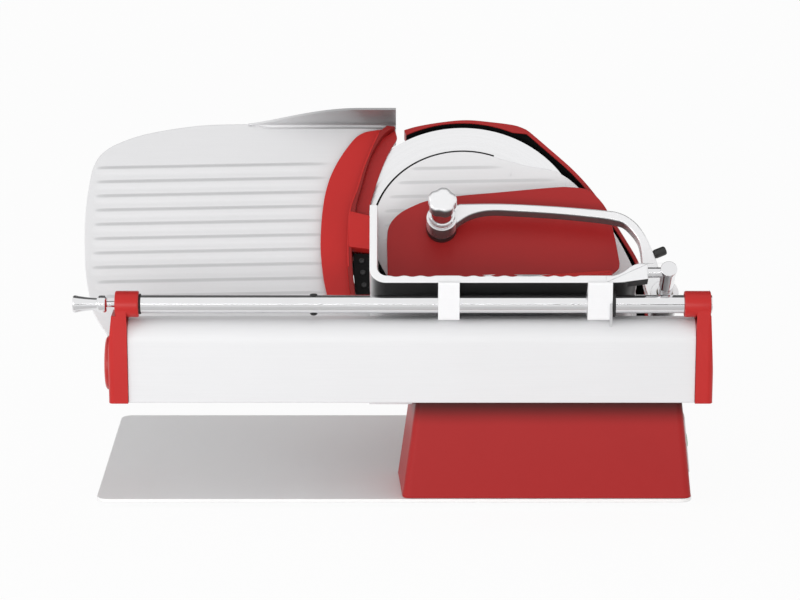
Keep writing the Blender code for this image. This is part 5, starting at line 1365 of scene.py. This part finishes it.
def build_grip():
    """The pusher's grip: a collar, a waisted core and a domed head with lobes."""
    sizes, finish = bpy.context.scene.slicer_sizes, finishes()
    low, high = reach("pusher_knob", GRIP)
    base, tip = low.z, high.z
    core = lathe("grip_core", [
        (0, tip - 0.0128), (0.0118, tip - 0.0130), (0.0110, tip - 0.0160), (0.0112, base + 0.0065),
        (0.0125, base + 0.0055), (0.0137, base + 0.0040), (0.0137, base + 0.0012), (0.0128, base),
        (0.0063, base), (0.0063, base + 0.0125), (0, base + 0.0125)], GRIP, 0.0004, 96)
    dress(core, finish.chrome, "pusher_grip", "pusher_knob")
    star = notched(0.0148, sizes.grip_depth, sizes.grip_lobes, 45)
    crown, deep = 0.0038, 0.0060
    levels = [(0.0008, tip - 0.0140), (0, tip - 0.0132), (0, tip - crown)]
    levels += [(deep * (1 - math.cos(math.radians(a))), tip - crown * (1 - math.sin(math.radians(a))))
               for a in range(9, 91, 9)]
    rows = []
    for inset, height in levels:
        shrink = [1 - inset / math.hypot(x, y) for x, y in star]
        rows.append([(x * k, y * k, height) for (x, y), k in zip(star, shrink)])
    dress(loft("grip_head", rows, GRIP, closed=True), finish.cast, "pusher_grip")


def area_light(name, place, target, size, power, size_y=None):
    lamp = bpy.data.lights.new(name, 'AREA')
    lamp.energy = power
    lamp.shape = 'RECTANGLE'
    lamp.size = size
    lamp.size_y = size_y or size
    holder = bpy.data.objects.new(name, lamp)
    bpy.context.scene.collection.objects.link(holder)
    holder.location = place
    holder.rotation_euler = (Vector(target) - Vector(place)).to_track_quat('-Z', 'Y').to_euler()
    return holder


def stage_sheet(name, place, size, target=None):
    """A flat stage surface, turned to face a point if one is given."""
    bm = bmesh.new()
    bmesh.ops.create_grid(bm, x_segments=1, y_segments=1, size=0.5)
    bmesh.ops.scale(bm, vec=(*size, 1), verts=bm.verts)
    mesh = bpy.data.meshes.new(name)
    bm.to_mesh(mesh)
    bm.free()
    sheet = bpy.data.objects.new(name, mesh)
    bpy.context.scene.collection.objects.link(sheet)
    sheet.location = place
    if target:
        sheet.rotation_euler = (Vector(target) - Vector(place)).to_track_quat('-Z', 'Y').to_euler()
    return sheet


MACHINE_MIDDLE = (0, -0.05, 0.25)
CARDS = (("card_above", (0, 1.35, 1.75), (4.0, 2.6), 0.13, MACHINE_MIDDLE),
         ("card_front", (0, -2.4, 0.40), (3.0, 0.40), 0.13, MACHINE_MIDDLE),
         ("card_low", (0, -0.66, 0.003), (3.6, 0.9), 0.85, None))


def build_stage():
    """A white studio: floor, even light, two large soft lights, cards for the chrome, and the camera.

    The cards show only in reflections, so that bright metal has darker bands in it.
    """
    stage, scene = bpy.context.scene.slicer_stage, bpy.context.scene
    world = bpy.data.worlds.new("studio")
    scene.world = world
    world.use_nodes = True
    sheet = Sheet(world.node_tree)
    lit = sheet.node("Background", None, {"Color": (1, 1, 1, 1), "Strength": stage.ambient})
    sheet.feed(world.node_tree.nodes["World Output"].inputs["Surface"], sheet.shown_white("Background", lit))
    build_floor()
    area_light("key_light", (-0.4, -2.6, 0.45), (0, 0, 0.2), 2.4, stage.key_power, 0.5)
    area_light("side_light", (-2.4, -1.3, 0.9), (0, 0, 0.2), 1.2, stage.side_power)
    for name, place, size, shade, target in CARDS:
        card = stage_sheet(name, place, size, target)
        card.visible_camera = card.visible_diffuse = card.visible_shadow = False
        card.data.materials.append(Recipe(f"{name}_dark", (shade, shade, shade), 0.9).material)
    lens = bpy.data.cameras.new("camera")
    lens.lens = stage.lens
    camera = bpy.data.objects.new("camera", lens)
    scene.collection.objects.link(camera)
    camera.location = stage.camera_place
    camera.rotation_euler = (stage.camera_tilt, 0, 0)
    scene.camera = camera
    scene.view_settings.view_transform = 'Standard'


def build_floor():
    """The floor: white where nothing shades it, with the machine's soft shadow left in."""
    floor = stage_sheet("floor", (0, 0, 0), (12, 12))
    recipe = Recipe("floor_white", (0.93, 0.93, 0.93), 0.8)
    lit = Wire(recipe, recipe.shader.outputs[0])
    surface = recipe.tree.nodes["Material Output"].inputs["Surface"]
    recipe.feed(surface, recipe.shown_white("Emission", lit, 0.93))
    floor.data.materials.append(recipe.material)


# Operators

class SLICER_OT_stage(Operator):
    """Sets up the studio, its lights and the camera"""
    bl_idname = "slicer.stage"
    bl_label = "Studio and camera"

    def execute(self, context):
        build_stage()
        return {'FINISHED'}


class SLICER_OT_deck(Operator):
    """Builds the deck plate and its rubber feet"""
    bl_idname = "slicer.deck"
    bl_label = "Deck and feet"

    def execute(self, context):
        build_deck()
        return {'FINISHED'}


class SLICER_OT_pedestal(Operator):
    """Builds the red pedestal and the bracket under the housing"""
    bl_idname = "slicer.pedestal"
    bl_label = "Pedestal"

    def execute(self, context):
        build_pedestal()
        return {'FINISHED'}


class SLICER_OT_switches(Operator):
    """Builds the switch panel, its two buttons and the cord gland"""
    bl_idname = "slicer.switches"
    bl_label = "Switches and cord gland"

    def execute(self, context):
        build_switches()
        return {'FINISHED'}


class SLICER_OT_housing(Operator):
    """Builds the long front housing and its two red end caps"""
    bl_idname = "slicer.housing"
    bl_label = "Front housing"

    def execute(self, context):
        build_housing()
        return {'FINISHED'}


class SLICER_OT_rail(Operator):
    """Builds the carriage rail, its stop pin, seal and lock knob"""
    bl_idname = "slicer.rail"
    bl_label = "Rail and lock knob"

    def execute(self, context):
        build_rail()
        return {'FINISHED'}


class SLICER_OT_dial(Operator):
    """Builds the slice thickness dial"""
    bl_idname = "slicer.dial"
    bl_label = "Thickness dial"

    def execute(self, context):
        build_dial()
        return {'FINISHED'}


class SLICER_OT_gauge(Operator):
    """Builds the ribbed gauge plate and its top flange"""
    bl_idname = "slicer.gauge"
    bl_label = "Gauge plate"

    def execute(self, context):
        build_gauge_plate()
        return {'FINISHED'}


class SLICER_OT_casting(Operator):
    """Builds the dished red ring casting that carries the blade"""
    bl_idname = "slicer.casting"
    bl_label = "Blade casting"

    def execute(self, context):
        build_blade_housing()
        return {'FINISHED'}


class SLICER_OT_motor_cover(Operator):
    """Builds the red motor cover and the star grip that ties it"""
    bl_idname = "slicer.motor_cover"
    bl_label = "Motor cover"

    def execute(self, context):
        build_motor_cover()
        return {'FINISHED'}


class SLICER_OT_blade(Operator):
    """Builds the blade and its three screws"""
    bl_idname = "slicer.blade"
    bl_label = "Blade"

    def execute(self, context):
        build_blade()
        return {'FINISHED'}


class SLICER_OT_inside(Operator):
    """Gives the solids that stay as they are their finishes"""
    bl_idname = "slicer.inside"
    bl_label = "Drive and inner parts"

    def execute(self, context):
        finish_inside()
        return {'FINISHED'}


class SLICER_OT_cover(Operator):
    """Builds the ribbed cover in front of the blade"""
    bl_idname = "slicer.cover"
    bl_label = "Blade cover"

    def execute(self, context):
        build_blade_cover()
        return {'FINISHED'}


class SLICER_OT_table(Operator):
    """Builds the grooved food table and its lugs"""
    bl_idname = "slicer.table"
    bl_label = "Food table"

    def execute(self, context):
        build_table()
        return {'FINISHED'}


class SLICER_OT_trim(Operator):
    """Builds the guide rod, the slide blocks, the wiper, the clip and the skid"""
    bl_idname = "slicer.trim"
    bl_label = "Carriage trim"

    def execute(self, context):
        build_carriage_trim()
        return {'FINISHED'}


class SLICER_OT_guard(Operator):
    """Builds the red hand guard and its black support"""
    bl_idname = "slicer.guard"
    bl_label = "Hand guard"

    def execute(self, context):
        build_guard()
        return {'FINISHED'}


class SLICER_OT_arm(Operator):
    """Builds the pusher arm, its bushing, sleeve and bumper"""
    bl_idname = "slicer.arm"
    bl_label = "Pusher arm"

    def execute(self, context):
        build_pusher()
        return {'FINISHED'}


class SLICER_OT_pusher_plate(Operator):
    """Builds the red pusher plate and its spikes"""
    bl_idname = "slicer.pusher_plate"
    bl_label = "Pusher plate"

    def execute(self, context):
        build_pusher_plate()
        return {'FINISHED'}


class SLICER_OT_grip(Operator):
    """Builds the lobed grip on the pusher"""
    bl_idname = "slicer.grip"
    bl_label = "Pusher grip"

    def execute(self, context):
        build_grip()
        return {'FINISHED'}


STEPS = (SLICER_OT_stage, SLICER_OT_deck, SLICER_OT_pedestal, SLICER_OT_switches, SLICER_OT_housing,
         SLICER_OT_rail, SLICER_OT_dial, SLICER_OT_gauge, SLICER_OT_casting, SLICER_OT_motor_cover,
         SLICER_OT_blade, SLICER_OT_inside, SLICER_OT_cover, SLICER_OT_table, SLICER_OT_trim,
         SLICER_OT_guard, SLICER_OT_arm, SLICER_OT_pusher_plate, SLICER_OT_grip)
GROUPS = {"slicer_sizes": SlicerSizes, "slicer_colours": SlicerColours, "slicer_stage": SlicerStage}


class SLICER_PT_panel(Panel):
    """Lists the steps that build the slicer"""
    bl_idname = "SLICER_PT_panel"
    bl_label = "Meat slicer"
    bl_space_type = 'VIEW_3D'
    bl_region_type = 'UI'
    bl_category = "Slicer"

    def draw(self, context):
        for group in GROUPS:
            box = self.layout.box()
            settings = getattr(context.scene, group)
            for name in settings.bl_rna.properties.keys():
                if name not in ("rna_type", "name"):
                    box.prop(settings, name)
        for step in STEPS:
            self.layout.operator(step.bl_idname)


def register():
    for group in GROUPS.values():
        bpy.utils.register_class(group)
    for step in STEPS:
        bpy.utils.register_class(step)
    bpy.utils.register_class(SLICER_PT_panel)
    for name, group in GROUPS.items():
        setattr(bpy.types.Scene, name, PointerProperty(type=group))


def unregister():
    for name in GROUPS:
        delattr(bpy.types.Scene, name)
    for kind in (SLICER_PT_panel, *reversed(STEPS), *GROUPS.values()):
        bpy.utils.unregister_class(kind)


def main():
    register()
    for step in STEPS:
        family, name = step.bl_idname.split(".")
        getattr(getattr(bpy.ops, family), name)()
    bpy.context.view_layer.update()


if __name__ == "__main__":
    main()
